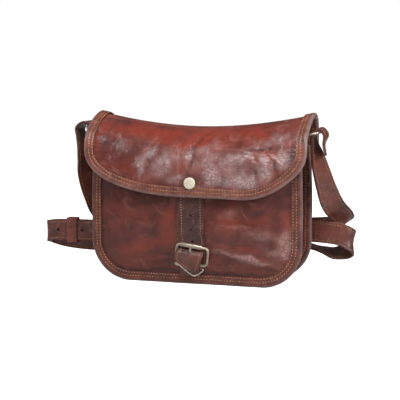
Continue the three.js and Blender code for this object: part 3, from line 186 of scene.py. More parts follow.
# Painted grey highlights on the panel; darker places, partly stains, partly painted shade; redder places.
PANEL_HIGHLIGHT_BUMPS = [
    dict(x=0.46, z=0.175, reach=0.26, spread=0.014, turn=-14, height=1.1),
    dict(x=0.52, z=0.165, reach=0.24, spread=0.032, turn=-12, height=0.55),
    dict(x=0.42, z=0.25, reach=0.34, spread=0.1, turn=-8, height=0.2),
    dict(x=0.6, z=0.315, reach=0.16, spread=0.04, turn=-8, height=0.6),
    dict(x=0.86, z=0.27, reach=0.16, spread=0.07, turn=68, height=0.9),
    dict(x=0.8, z=0.2, reach=0.14, spread=0.03, turn=-20, height=0.5),
    dict(x=-0.5, z=0.36, reach=0.16, spread=0.02, turn=-6, height=0.25),
    dict(x=0.33, z=0.43, reach=0.1, spread=0.04, turn=10, height=0.4),
    dict(x=0.4, z=0.36, reach=0.22, spread=0.014, turn=-4, height=0.35),
]
PANEL_STAINS_AND_SHADE = [
    dict(x=0.61, z=0.435, reach=0.07, spread=0.04, turn=0, height=1.0),
    # The next three rows are painted shade: in the valley above the bottom binding and in a band under the
    # flap.
    dict(x=-0.42, z=0.07, reach=0.5, spread=0.016, turn=0, height=1.3),
    dict(x=0.46, z=0.068, reach=0.44, spread=0.017, turn=-2, height=1.3),
    dict(x=0.0, z=0.56, reach=1.2, spread=0.09, turn=0, height=0.8),
    dict(x=-0.62, z=0.28, reach=0.22, spread=0.1, turn=30, height=0.6),
    dict(x=-0.38, z=0.3, reach=0.1, spread=0.05, turn=-30, height=0.6),
    dict(x=0.3, z=0.2, reach=0.12, spread=0.05, turn=20, height=0.5),
    dict(x=0.78, z=0.42, reach=0.16, spread=0.06, turn=80, height=0.6),
    dict(x=0.2, z=0.3, reach=0.12, spread=0.1, turn=60, height=0.4),
    dict(x=-0.45, z=0.47, reach=0.3, spread=0.06, turn=-4, height=0.6),
    dict(x=0.42, z=0.26, reach=0.26, spread=0.03, turn=-10, height=0.5),
    dict(x=0.72, z=0.1, reach=0.16, spread=0.025, turn=-14, height=0.5),
    dict(x=-0.2, z=0.17, reach=0.14, spread=0.05, turn=10, height=0.5),
    dict(x=-0.86, z=0.3, reach=0.3, spread=0.05, turn=90, height=0.5),
]
PANEL_WARM = [
    dict(x=-0.22, z=0.37, reach=0.18, spread=0.09, turn=80, height=0.9),
    dict(x=-0.55, z=0.2, reach=0.24, spread=0.08, turn=10, height=0.6),
    dict(x=0.9, z=0.38, reach=0.14, spread=0.05, turn=90, height=0.8),
    dict(x=0.36, z=0.4, reach=0.2, spread=0.09, turn=-10, height=0.5),
    dict(x=0.4, z=0.22, reach=0.3, spread=0.08, turn=-8, height=0.4),
]


def smooth(value, low, high):
    share = np.clip((value - low) / (high - low), 0, 1)
    return share * share * (3 - 2 * share)


def noise(x, y, seed):
    """Soft bumps between -1 and 1, about one for each unit of x and y."""
    cells = np.random.RandomState(seed).uniform(-1, 1, (64, 64))
    column, row = np.floor(x).astype(int), np.floor(y).astype(int)
    right, up = smooth(x - column, 0, 1), smooth(y - row, 0, 1)
    low = cells[row % 64, column % 64] * (1 - right) + cells[row % 64, (column + 1) % 64] * right
    high = cells[(row + 1) % 64, column % 64] * (1 - right) + cells[(row + 1) % 64, (column + 1) % 64] * right
    return low * (1 - up) + high * up


def fold_at(folds, x, z):
    total = np.zeros_like(x)
    for fold in folds:
        turn = math.radians(fold["turn"])
        dx, dz = x - fold["x"] * HALF_WIDTH, z - fold["z"] * BAG_HEIGHT
        along = (dx * math.cos(turn) + dz * math.sin(turn)) / (fold["reach"] * HALF_WIDTH)
        across = (dz * math.cos(turn) - dx * math.sin(turn)) / (fold["spread"] * HALF_WIDTH)
        total += fold["height"] * np.exp(-along * along - across * across)
    return total


def side_at(z):
    """Half the bag's width at a height: straight above the rounded corners, a little narrower on top."""
    rise = np.maximum(0, (z - TAPER_START) / TAPER_LENGTH)
    below = np.clip(CORNER - z, 0, CORNER)
    return np.where(z >= CORNER, HALF_WIDTH - TOP_TAPER * rise * rise,
                    HALF_WIDTH - CORNER + np.sqrt(CORNER * CORNER - below * below))


def edge_distance(x, z):
    across = np.abs(x) - (HALF_WIDTH - CORNER)
    corner = CORNER - np.hypot(across, CORNER - z)
    return np.where((across > 0) & (z < CORNER), corner, np.minimum(z, side_at(z) - np.abs(x)))


def bulge_at(x, z, depth):
    inwards = np.maximum(0, edge_distance(x, z) - BINDING_WIDTH - 1.8)
    return depth * (1 - (1 - np.minimum(inwards / BULGE_REACH, 1)) ** 2)


def front_face(x, z, marks=True):
    """How far the front leather stands forward of the bag's middle."""
    inside = smooth(edge_distance(x, z), BINDING_WIDTH + 1, BINDING_WIDTH + 14)
    beside = smooth(np.abs(x), BACKING_WIDTH * 0.55, BACKING_WIDTH * 0.9)
    full = np.interp(z / BAG_HEIGHT, [row["z"] for row in FULLNESS], [row["share"] for row in FULLNESS])
    face = PANEL_FACE + bulge_at(x, z, FRONT_BULGE) * full + fold_at(PANEL_FOLDS, x, z) * inside * beside
    if marks:
        face = face + fold_at(PANEL_MARKS, x, z) * inside * beside
        face = face + (0.6 * fold_at(PANEL_HIGHLIGHT_BUMPS, x, z) - 0.5 * fold_at(PANEL_STAINS_AND_SHADE, x, z)) * inside * beside
        face = face + 0.22 * noise(x / 14, z / 11, 3) * inside * beside
        pucker = smooth(edge_distance(x, z), BINDING_WIDTH, BINDING_WIDTH + 2)
        pucker = pucker * (1 - smooth(edge_distance(x, z), BINDING_WIDTH + 3, BINDING_WIDTH + 13))
        face = face + 0.28 * pucker * noise(np.arctan2(x, 70 - z) * 16, x * 0, 5)
    return face


HIDE_ANGLE = math.radians(48)


def soften_edges(piece, width, segments, degrees):
    """Rounds the piece's edges that are sharper than an angle."""
    bpy.ops.object.modifier_add(type="BEVEL")
    bevel = piece.modifiers[-1]
    bevel.width = width
    bevel.segments = segments
    bevel.limit_method = "ANGLE"
    bevel.angle_limit = math.radians(degrees)
    bpy.ops.object.modifier_apply(modifier=bevel.name)


def leather_sheet(name, columns, rows, lay, wall, edge=0.3):
    """A flat grid, laid on a surface by lay(u, v), then given its thickness and soft edges.

    lay takes two rows of shares and gives places in millimetres and the hide's own flat measure."""
    bpy.ops.object.select_all(action="DESELECT")
    bpy.ops.mesh.primitive_grid_add(x_subdivisions=columns, y_subdivisions=rows, size=1)
    piece = bpy.context.object
    piece.name = piece.data.name = name
    flat = np.empty(len(piece.data.vertices) * 3)
    piece.data.vertices.foreach_get("co", flat)
    flat = flat.reshape(-1, 3) + 0.5
    points, hide = lay(flat[:, 0], flat[:, 1])
    piece.data.vertices.foreach_set("co", in_frame(points).ravel())
    corners = np.empty(len(piece.data.loops), dtype=int)
    piece.data.loops.foreach_get("vertex_index", corners)
    piece.data.uv_layers[0].name = "hide"
    piece.data.uv_layers[0].data.foreach_set("uv", (np.asarray(hide)[corners] * MM).ravel())
    bpy.ops.object.modifier_add(type="SOLIDIFY")
    solidify = piece.modifiers[-1]
    solidify.thickness = wall * MM
    solidify.offset = 0
    solidify.use_even_offset = False
    solidify.material_offset_rim = 1
    bpy.ops.object.modifier_apply(modifier=solidify.name)
    soften_edges(piece, edge * MM, 2, 50)
    bpy.ops.object.shade_smooth_by_angle(angle=HIDE_ANGLE)
    return piece


def group_sockets(group, inputs, outputs):
    for socket, value in inputs:
        made = group.interface.new_socket(socket, in_out="INPUT", socket_type="NodeSocketFloat")
        made.default_value = value
    for socket in outputs:
        group.interface.new_socket(socket, in_out="OUTPUT", socket_type="NodeSocketFloat")
    return group.nodes.new("NodeGroupInput"), group.nodes.new("NodeGroupOutput")


def build_hide_group():
    """Waxed hide: soft clouds of darker wax, pale rubbed streaks, and a fine pebble with small creases."""
    group = bpy.data.node_groups.new("waxed_hide", "ShaderNodeTree")
    start, end = group_sockets(group, (("Cloud Size", 34.0), ("Streak Size", 60.0), ("Pebble Size", 900.0)),
                               ("Clouds", "Streaks", "Specks", "Crackle", "Grain"))
    nodes, link = group.nodes, group.links.new
    place = nodes.new("ShaderNodeTexCoord")

    def noise_node(size, detail, roughness, distortion=0.0):
        node = nodes.new("ShaderNodeTexNoise")
        node.inputs["Detail"].default_value = detail
        node.inputs["Roughness"].default_value = roughness
        node.inputs["Distortion"].default_value = distortion
        link(place.outputs["Object"], node.inputs["Vector"])
        if isinstance(size, str):
            link(start.outputs[size], node.inputs["Scale"])
        else:
            node.inputs["Scale"].default_value = size
        return node.outputs["Fac"]

    def ramp(value, low, high):
        node = nodes.new("ShaderNodeMapRange")
        node.interpolation_type = "SMOOTHSTEP"
        node.inputs["From Min"].default_value = low
        node.inputs["From Max"].default_value = high
        link(value, node.inputs["Value"])
        return node.outputs["Result"]

    def combine(kind, a, b):
        node = nodes.new("ShaderNodeMath")
        node.operation = kind
        for socket, value in zip(node.inputs, (a, b)):
            if isinstance(value, float):
                socket.default_value = value
            else:
                link(value, socket)
        return node.outputs[0]

    link(ramp(noise_node("Cloud Size", 5.0, 0.6, 0.5), 0.3, 0.68), end.inputs["Clouds"])
    link(ramp(noise_node("Streak Size", 5.0, 0.65, 1.4), 0.5, 0.72), end.inputs["Streaks"])
    link(ramp(noise_node(420.0, 3.0, 0.6), 0.58, 0.72), end.inputs["Specks"])
    cells = nodes.new("ShaderNodeTexVoronoi")
    cells.feature = "SMOOTH_F1"
    link(place.outputs["Object"], cells.inputs["Vector"])
    link(start.outputs["Pebble Size"], cells.inputs["Scale"])
    wrinkle = nodes.new("ShaderNodeTexVoronoi")
    wrinkle.feature = "DISTANCE_TO_EDGE"
    wrinkle.inputs["Scale"].default_value = 260.0
    bent = nodes.new("ShaderNodeVectorMath")
    bent.operation = "ADD"
    sway = nodes.new("ShaderNodeTexNoise")
    sway.inputs["Scale"].default_value = 180.0
    shrink = nodes.new("ShaderNodeVectorMath")
    shrink.operation = "SCALE"
    shrink.inputs["Scale"].default_value = 0.006
    link(place.outputs["Object"], sway.inputs["Vector"])
    link(sway.outputs["Color"], shrink.inputs[0])
    link(place.outputs["Object"], bent.inputs[0])
    link(shrink.outputs[0], bent.inputs[1])
    link(bent.outputs[0], wrinkle.inputs["Vector"])
    pebble = combine("MULTIPLY", cells.outputs["Distance"], 0.45)
    link(combine("SUBTRACT", 1.0, ramp(wrinkle.outputs["Distance"], 0.0, 0.16)), end.inputs["Crackle"])
    crease = combine("MULTIPLY", ramp(wrinkle.outputs["Distance"], 0.0, 0.09), 0.3)
    crease = combine("MULTIPLY", crease, ramp(noise_node(45.0, 2.0, 0.5), 0.45, 0.65))
    fine = combine("MULTIPLY", noise_node(1500.0, 2.0, 0.6), 0.25)
    link(combine("ADD", combine("ADD", pebble, crease), fine), end.inputs["Grain"])
    return group


hide_group = build_hide_group()


def paint_marks_and_light(piece, painted_highlight, deep, warm):
    """Keeps, on the front of the leather, where grey highlights are painted, where it is painted darker for
    stains and for shade, and where it is redder.
    """
    count = len(piece.data.vertices)
    flat = np.empty(count * 3)
    piece.data.vertices.foreach_get("co", flat)
    x, y, z = ((flat.reshape(-1, 3) - MIDDLE) / MM).T
    rough = 0.9 + 0.3 * noise(x / 6, z / 5, 71) + 0.16 * noise(x / 2.3, z / 2.5, 73)
    x, z = (x + 3.5 * noise(x / 13, z / 9, 74) + 1.6 * noise(x / 5, z / 6, 75),
            z + 2.5 * noise(x / 11, z / 12, 76) + 1.3 * noise(x / 6, z / 4, 77))
    tones = np.ones((count, 4))
    for channel, marks in enumerate((painted_highlight, deep, warm)):
        tones[:, channel] = np.clip(fold_at(marks, x, z) * rough, 0, 1) * (y < 0)
    finish_and_painted_light = piece.data.attributes.new("finish_and_painted_light", "FLOAT_COLOR", "POINT")
    finish_and_painted_light.data.foreach_set("color", tones.ravel())


def waxed_leather(name, colour, dark, rubbed, gloss=0.38, coat=0.25, grain=0.3, pebble=900.0, clouds=34.0,
                  streaks=60.0, rows=(), worn_and_sheen_edge=None, finish_and_painted_light=None):
    """Leather from the hide group. rows are sewn grooves, and the edge entry paints a paler fold, partly
    rubbed wear and partly painted sheen, across the hide.

    The three mark colours are a painted grey highlight, a dark for stains and painted shade, and a redder
    red."""
    material = bpy.data.materials.new(name)
    material.use_nodes = True
    nodes, link = material.node_tree.nodes, material.node_tree.links.new
    skin = nodes["Principled BSDF"]
    hide = nodes.new("ShaderNodeGroup")
    hide.node_tree = hide_group
    hide.inputs["Cloud Size"].default_value = clouds
    hide.inputs["Streak Size"].default_value = streaks
    hide.inputs["Pebble Size"].default_value = pebble

    def mixed(share, first, second):
        node = nodes.new("ShaderNodeMix")
        node.data_type = "RGBA"
        for socket, value in ((node.inputs[0], share), (node.inputs[6], first), (node.inputs[7], second)):
            if isinstance(value, tuple):
                socket.default_value = (*value, 1)
            elif isinstance(value, float):
                socket.default_value = value
            else:
                link(value, socket)
        return node.outputs[2]

    def scaled(value, low, high, to_low=0.0, to_high=1.0):
        node = nodes.new("ShaderNodeMapRange")
        node.interpolation_type = "SMOOTHSTEP"
        for socket, number in zip(("From Min", "From Max", "To Min", "To Max"), (low, high, to_low, to_high)):
            node.inputs[socket].default_value = number
        link(value, node.inputs["Value"])
        return node.outputs["Result"]

    def maths(kind, *values):
        node = nodes.new("ShaderNodeMath")
        node.operation = kind
        for socket, value in zip(node.inputs, values):
            if isinstance(value, (int, float)):
                socket.default_value = value
            else:
                link(value, socket)
        return node.outputs[0]

    tone = mixed(hide.outputs["Clouds"], dark, colour)
    tone = mixed(maths("MULTIPLY", hide.outputs["Streaks"], 0.7), tone, rubbed)
    tone = mixed(maths("MULTIPLY", hide.outputs["Specks"], 0.25), tone, dark)
    height = hide.outputs["Grain"]
    if rows or worn_and_sheen_edge:
        measure = nodes.new("ShaderNodeUVMap")
        measure.uv_map = "hide"
        parts = nodes.new("ShaderNodeSeparateXYZ")
        link(measure.outputs["UV"], parts.inputs[0])
        across = parts.outputs["X"]
    for row in rows:
        beside = maths("ABSOLUTE", maths("SUBTRACT", across, row * MM))
        sunk = scaled(beside, 0.0, 0.0011)
        height = maths("ADD", height, maths("MULTIPLY", sunk, 1.1))
        tone = mixed(maths("MULTIPLY", maths("SUBTRACT", 1.0, sunk), 0.45), tone, dark)
    # The fold's paler colour is partly rubbed wear and partly painted sheen on the rounded edge.
    if worn_and_sheen_edge:
        low, high, pale = worn_and_sheen_edge
        tone = mixed(maths("MULTIPLY", scaled(across, high * MM, low * MM),
                           scaled(hide.outputs["Clouds"], 0.0, 1.0, 0.45, 0.95)), tone, pale)
    if finish_and_painted_light:
        kept = nodes.new("ShaderNodeAttribute")
        kept.attribute_name = "finish_and_painted_light"
        shares = nodes.new("ShaderNodeSeparateColor")
        link(kept.outputs["Color"], shares.inputs[0])
        uneven = maths("MULTIPLY", maths("SUBTRACT", hide.outputs["Clouds"], 0.5), 0.5)
        painted_highlight, deep, warm = finish_and_painted_light
        # Blue is the redder places, Red the painted grey highlight broken by darker crackle, Green the darker
        # places: stains and painted shade.
        for socket, shade, strength in (("Blue", warm, 0.7), ("Red", painted_highlight, 0.8), ("Green", deep, 0.8)):
            share = maths("ADD", shares.outputs[socket], maths("MULTIPLY", uneven, shares.outputs[socket]))
            tone = mixed(maths("MULTIPLY", scaled(share, 0.0, 1.0), strength), tone, shade)
            if socket == "Red":
                cracks = maths("MULTIPLY", hide.outputs["Crackle"], scaled(share, 0.1, 0.7))
                tone = mixed(maths("MULTIPLY", cracks, 0.55), tone, dark)
    link(tone, skin.inputs["Base Color"])
    link(scaled(hide.outputs["Streaks"], 0.0, 1.0, gloss, gloss + 0.12), skin.inputs["Roughness"])
    bump = nodes.new("ShaderNodeBump")
    bump.inputs["Strength"].default_value = grain
    bump.inputs["Distance"].default_value = 0.0006
    link(height, bump.inputs["Height"])
    link(bump.outputs["Normal"], skin.inputs["Normal"])
    skin.inputs["Coat Weight"].default_value = coat
    skin.inputs["Coat Roughness"].default_value = 0.3
    skin.inputs["IOR"].default_value = 1.5
    return material


RAW_EDGE = waxed_leather("raw_hide_edge", (0.36, 0.11, 0.035), (0.2, 0.055, 0.02), (0.42, 0.17, 0.08),
                         gloss=0.6, coat=0.0, grain=0.5, clouds=120.0)


def lay_panel(face, top, side, u, v):
    """Rows of even height over the straight sides, closer together round the bottom corners."""
    inner = CORNER - LAYER_INSET
    bend = 0.3
    low = CORNER - inner * np.cos(np.minimum(v / bend, 1) * math.pi / 2)
    z = np.where(v < bend, low, CORNER + (v - bend) / (1 - bend) * (top - CORNER))
    below = np.clip(CORNER - z, 0, inner)
    round_reach = HALF_WIDTH - CORNER + np.sqrt(inner * inner - below * below)
    reach = np.where(z < CORNER, round_reach, side_at(z) - LAYER_INSET)
    x = (2 * u - 1) * reach
    return np.stack([x, side * (face(x, z) - PANEL_WALL / 2), z], 1), np.stack([x, z], 1)


# Its mark colours: a painted grey highlight, a dark for stains and painted shade, and a redder red.
panel_leather = waxed_leather("panel_hide", (0.138, 0.025, 0.016), (0.052, 0.011, 0.009), (0.21, 0.06, 0.044),
                              gloss=0.34, coat=0.1, grain=0.5, pebble=620.0, clouds=30.0, streaks=45.0,
                              finish_and_painted_light=((0.34, 0.18, 0.16), (0.03, 0.011, 0.01), (0.2, 0.032, 0.015)))
front_panel = leather_sheet("front_panel_hide", 150, 110,
                            lambda u, v: lay_panel(front_face, MOUTH_HEIGHT, -1, u, v), PANEL_WALL)
paint_marks_and_light(front_panel, PANEL_HIGHLIGHT_BUMPS, PANEL_STAINS_AND_SHADE, PANEL_WARM)
front_panel.data.materials.append(panel_leather)
front_panel.data.materials.append(RAW_EDGE)
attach(front_panel, "root")
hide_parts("front_panel")

# Back panel.
# The same hide on the other side of the bag, nearly flat, and higher than the front because the flap is
# sewn over its top.
BACK_BULGE = 2.5


def back_face(x, z):
    fade = 1 - smooth(z, MOUTH_HEIGHT * 0.75, MOUTH_HEIGHT * 0.88)
    inside = smooth(edge_distance(x, z), BINDING_WIDTH + 1, BINDING_WIDTH + 14)
    return PANEL_FACE + (bulge_at(x, z, BACK_BULGE) + 0.2 * noise(x / 16, z / 12, 8) * inside) * fade


back_panel = leather_sheet("back_panel_hide", 120, 96,
                           lambda u, v: lay_panel(back_face, BACK_HEIGHT, 1, u, v), PANEL_WALL)
back_panel.data.materials.append(panel_leather)
back_panel.data.materials.append(RAW_EDGE)
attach(back_panel, "root")
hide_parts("back_panel")

# Gusset.
# One long strip makes both sides and the bottom. Its two edges are turned outwards and sewn into the
# seams, so the sides show as a deep valley between two bound edges.
GUSSET_WALL, SEAM_ALLOWANCE, GUSSET_BOW = 1.6, 12.5, 2


def catmull(points, shares, closed=False, even=False):
    """Places on a smooth curve through the points, at shares of the way along its list."""
    points = np.asarray(points, dtype=float)
    count = len(points)
    spans = count if closed else count - 1
    place = np.clip(np.asarray(shares, dtype=float), 0, 1) * spans
    first = np.minimum(place.astype(int), spans - 1)
    weight = (place - first)[:, None]
    if closed:
        p0, p1, p2, p3 = (points[(first + step) % count] for step in (-1, 0, 1, 2))
    else:
        padded = np.vstack([2 * points[0] - points[1], points, 2 * points[-1] - points[-2]])
        p0, p1, p2, p3 = (padded[first + step] for step in (0, 1, 2, 3))
    if even:
        slope1, slope2 = (p2 - p0) / 2, (p3 - p1) / 2
    else:
        def chord(a, b):
            return np.maximum(np.sum((b - a) ** 2, axis=1), 1e-12)[:, None] ** 0.25
        d0, d1, d2 = chord(p0, p1), chord(p1, p2), chord(p2, p3)
        slope1 = ((p1 - p0) / d0 - (p2 - p0) / (d0 + d1) + (p2 - p1) / d1) * d1
        slope2 = ((p2 - p1) / d1 - (p3 - p1) / (d1 + d2) + (p3 - p2) / d2) * d1
    square = weight * weight
    return (p1 + slope1 * weight + (-3 * p1 + 3 * p2 - 2 * slope1 - slope2) * square
            + (2 * p1 - 2 * p2 + slope1 + slope2) * square * weight)


def seam_line(top):
    """Down the left side, round the bottom and up the right: distance, x, z and the way outwards."""
    down = np.linspace(top, CORNER, 60)
    turn = np.radians(np.linspace(90, 0, 60))
    core = HALF_WIDTH - CORNER
    left = [(-side_at(z), z, -1.0, 0.0) for z in down]
    left += [(-core - CORNER * math.sin(a), CORNER - CORNER * math.cos(a), -math.sin(a), -math.cos(a))
             for a in turn[1:]]
    left = np.array(left, dtype=float)
    right = left[::-1] * np.array([-1, 1, -1, 1])
    line = np.vstack([left, right])
    run = np.concatenate([[0], np.cumsum(np.hypot(*np.diff(line[:, :2], axis=0).T))])
    return run, line


def on_seam(top, run, outward, y):
    """Places at a run along the seam, a distance outwards from its edge and a depth."""
    distance, line = seam_line(top)
    x, z, out_x, out_z = (np.interp(run, distance, line[:, i]) for i in range(4))
    return np.stack([x + out_x * outward, y + 0 * x, z + out_z * outward], 1)


flange = PANEL_FACE - PANEL_WALL - GAP - GUSSET_WALL / 2
web = -SEAM_ALLOWANCE - GUSSET_WALL / 2
GUSSET_HALF = [(-LAYER_INSET, flange), (web + 6, flange), (web + 1.9, flange), (web, flange - 2),
               (web + GUSSET_BOW * 0.7, flange * 0.5)]
gusset_path = ([(u, -v) for u, v in GUSSET_HALF] + [(web + GUSSET_BOW, 0)] + GUSSET_HALF[::-1])
seam_length = seam_line(MOUTH_HEIGHT)[0][-1]


def lay_gusset(u, v):
    place = catmull(gusset_path, u)
    free = smooth(-np.abs(place[:, 1]), -flange + 1, -flange + 8)
    crumple = 0.5 * noise(v * seam_length / 16, u * 5, 11) * free
    points = on_seam(MOUTH_HEIGHT, v * seam_length, place[:, 0] + crumple, place[:, 1])
    return points, np.stack([place[:, 1], v * seam_length], 1)


gusset_leather = waxed_leather("gusset_hide", (0.15, 0.036, 0.022), (0.06, 0.015, 0.011), (0.2, 0.07, 0.05),
                               gloss=0.4, coat=0.1, clouds=40.0)
gusset = leather_sheet("gusset_hide_strip", 44, 280, lay_gusset, GUSSET_WALL)
gusset.data.materials.append(gusset_leather)
gusset.data.materials.append(RAW_EDGE)
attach(gusset, "root")
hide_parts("gusset")

# Seam bindings.
# A strip of soft hide is folded round the edges of panel and gusset and sewn through with two rows of
# orange thread, which pulls it into two shallow grooves. Its fold is paler, part rubbed, part painted sheen.
SEAM_ROWS = (5.7, 9.5)
STITCH_PITCH, STITCH_LENGTH, STITCH_RADIUS = 3.3, 2.5, 0.44
THREAD_COLOURS = ((0.58, 0.27, 0.12), (0.32, 0.125, 0.055))


def thread_material():
    material = bpy.data.materials.new("waxed_thread")
    material.use_nodes = True
    nodes, link = material.node_tree.nodes, material.node_tree.links.new
    skin = nodes["Principled BSDF"]
    place = nodes.new("ShaderNodeTexCoord")
    cloud = nodes.new("ShaderNodeTexNoise")
    cloud.inputs["Scale"].default_value = 130.0
    cloud.inputs["Detail"].default_value = 4.0
    link(place.outputs["Object"], cloud.inputs["Vector"])
    blend = nodes.new("ShaderNodeMix")
    blend.data_type = "RGBA"
    blend.inputs[6].default_value = (*THREAD_COLOURS[0], 1)
    blend.inputs[7].default_value = (*THREAD_COLOURS[1], 1)
    sharpen = nodes.new("ShaderNodeMapRange")
    sharpen.inputs["From Min"].default_value = 0.42
    sharpen.inputs["From Max"].default_value = 0.6
    link(cloud.outputs["Fac"], sharpen.inputs["Value"])
    link(sharpen.outputs["Result"], blend.inputs[0])
    link(blend.outputs[2], skin.inputs["Base Color"])
    twist = nodes.new("ShaderNodeTexNoise")
    twist.inputs["Scale"].default_value = 4000.0
    link(place.outputs["Object"], twist.inputs["Vector"])
    bump = nodes.new("ShaderNodeBump")
    bump.inputs["Strength"].default_value = 0.5
    bump.inputs["Distance"].default_value = 0.0002
    link(twist.outputs["Fac"], bump.inputs["Height"])
    link(bump.outputs["Normal"], skin.inputs["Normal"])
    skin.inputs["Roughness"].default_value = 0.65
    return material


THREAD = thread_material()


def even_run(points, pitch):
    """Shares of a line of places, at even distances along it."""
    run = np.concatenate([[0], np.cumsum(np.linalg.norm(np.diff(points, axis=0), axis=1))])
    count = max(2, int(run[-1] / pitch))
    marks = (np.arange(count) + 0.5) * run[-1] / count
    return np.interp(marks, run, np.linspace(0, 1, len(points)))


def sew(name, lines, pitch=STITCH_PITCH, length=STITCH_LENGTH, slant=7, seed=1):
    """One capsule of thread is modelled and copied along each line of places and surface normals."""
    bpy.ops.object.select_all(action="DESELECT")
    bpy.ops.mesh.primitive_uv_sphere_add(segments=6, ring_count=6, radius=1)
    thread = bpy.context.object
    thread.name = thread.data.name = name
    capsule = np.array([v.co[:] for v in thread.data.vertices])
    faces = [list(p.vertices) for p in thread.data.polygons]
    random = np.random.RandomState(seed)
    places, polygons = [], []
    for points, normals in lines:
        shares = even_run(points, pitch) * (len(points) - 1)
        for share in shares:
            low = min(int(share), len(points) - 2)
            way = points[low + 1] - points[low]
            way = way / np.linalg.norm(way)
            up = normals[low] / np.linalg.norm(normals[low])
            side = np.cross(up, way)
            turn = math.radians(slant + random.uniform(-4, 4))
            ahead = way * math.cos(turn) + side * math.sin(turn)
            beside = np.cross(up, ahead)
            centre = points[low] + (points[low + 1] - points[low]) * (share - low)
            half = length / 2 * random.uniform(0.9, 1.05)
            shape = (capsule[:, :1] * beside + capsule[:, 1:2] * up * 0.8) * STITCH_RADIUS
            shape = shape + capsule[:, 2:] * ahead * half - up * (capsule[:, 2:] ** 2) * STITCH_RADIUS * 0.9
            polygons += [[i + len(places) * len(capsule) for i in face] for face in faces]
            places.append(centre + shape)
    mesh = bpy.data.meshes.new(name)
    mesh.from_pydata(in_frame(np.vstack(places)).tolist(), [], polygons)
    mesh.polygons.foreach_set("use_smooth", [True] * len(mesh.polygons))
    spare = thread.data
    thread.data = mesh
    bpy.data.meshes.remove(spare)
    mesh.materials.append(THREAD)
    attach(thread, "root")
    return thread


def fold_path(leg, inner, outer, rows, groove):
    """A strip folded round an edge: [outwards, across] from one raw edge over the fold to the other."""
    middle, radius = (inner + outer) / 2, (outer - inner) / 2
    path = []
    for distance in np.arange(leg, radius, -0.45):
        dip = sum(math.exp(-((distance - row) / 0.55) ** 2) for row in rows) * groove
        path.append((-distance, outer - dip))
    for angle in np.radians(np.linspace(90, -90, 12)):
        path.append((-radius + radius * math.cos(angle), middle + radius * math.sin(angle)))
    for distance in np.arange(radius, leg, 0.45):
        dip = sum(math.exp(-((distance - row) / 0.55) ** 2) for row in rows) * groove
        path.append((-distance, inner + dip))
    return np.array(path)


binding_outer = HALF_DEPTH - BINDING_WALL / 2
binding_inner = HALF_DEPTH - 1.5 * BINDING_WALL - 3 * GAP - PANEL_WALL - GUSSET_WALL
edge_path = fold_path(BINDING_WIDTH, binding_inner, binding_outer, SEAM_ROWS, 0.3)
edge_leather = waxed_leather("binding_hide", (0.13, 0.034, 0.023), (0.055, 0.017, 0.013), (0.21, 0.09, 0.072),
                             gloss=0.38, coat=0.12, clouds=60.0, streaks=90.0, rows=SEAM_ROWS,
                             worn_and_sheen_edge=(0.0, 3.0, (0.17, 0.1, 0.09)))


def lay_binding(side, top, u, v):
    length = seam_line(top)[0][-1]
    index = u * (len(edge_path) - 1)
    outward = np.interp(index, np.arange(len(edge_path)), edge_path[:, 0])
    depth = np.interp(index, np.arange(len(edge_path)), edge_path[:, 1])
    run = v * length
    ripple = 0.16 * noise(run / 5, index / 9, 17 + side) + 0.12 * np.sin(run / STITCH_PITCH * 2 * math.pi) * (
        np.exp(-((-outward - BINDING_WIDTH) / 1.2) ** 2))
    points = on_seam(top, run, outward + ripple * 0.5, side * (depth + ripple * 0.35))
    return points, np.stack([-outward, run], 1)


for name, side, top in (("front_binding", -1, MOUTH_HEIGHT), ("back_binding", 1, BACK_HEIGHT)):
    binding = leather_sheet(name + "_strip", len(edge_path) - 1, 330,
                            lambda u, v: lay_binding(side, top, u, v), BINDING_WALL, edge=0.25)
    binding.data.materials.append(edge_leather)
    binding.data.materials.append(RAW_EDGE)
    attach(binding, "root")
    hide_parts(name)
    lines = []
    run = np.linspace(4, seam_line(top)[0][-1] - 4, 900)
    for row in SEAM_ROWS:
        for depth, way in ((binding_outer + BINDING_WALL / 2 - 0.2, side),
                           (binding_inner - BINDING_WALL / 2 + 0.2, -side)):
            points = on_seam(top, run, -row, side * depth)
            lines.append((points, np.tile([0, way, 0], (len(points), 1))))
    stitches = sew(name + "_stitches", lines, seed=2 + side)

# Flap.
# One sheet of the best hide is sewn on the back, runs over the top, which sags between its corners, and
# hangs down the front. It is burnished orange on top, with creases, and bulges painted with grey highlights.
FLAP_OVERHANG, FLAP_SAG, FLAP_CORNER_HEIGHT = 5.5, 15, 150
FLAP_DROP, FLAP_LOP, FLAP_ROUNDNESS = 52, 7.5, 2.3
FLAP_WALL, FLAP_LINING = 1.6, 0.9
STUD_HEIGHT = 113.5
FLAP_WIDTH = BAG_WIDTH + 2 * FLAP_OVERHANG
FLAP_SHELL = FLAP_WALL / 2 + FLAP_LINING
FLAP_NOSE = FLAP_SHELL + BINDING_WALL
FLAP_FRONT = PANEL_FACE + 0.82 * FRONT_BULGE + 3 * GAP + 1.4 + 1.9 + FLAP_NOSE
FLAP_BACK = HALF_DEPTH + GAP + FLAP_NOSE
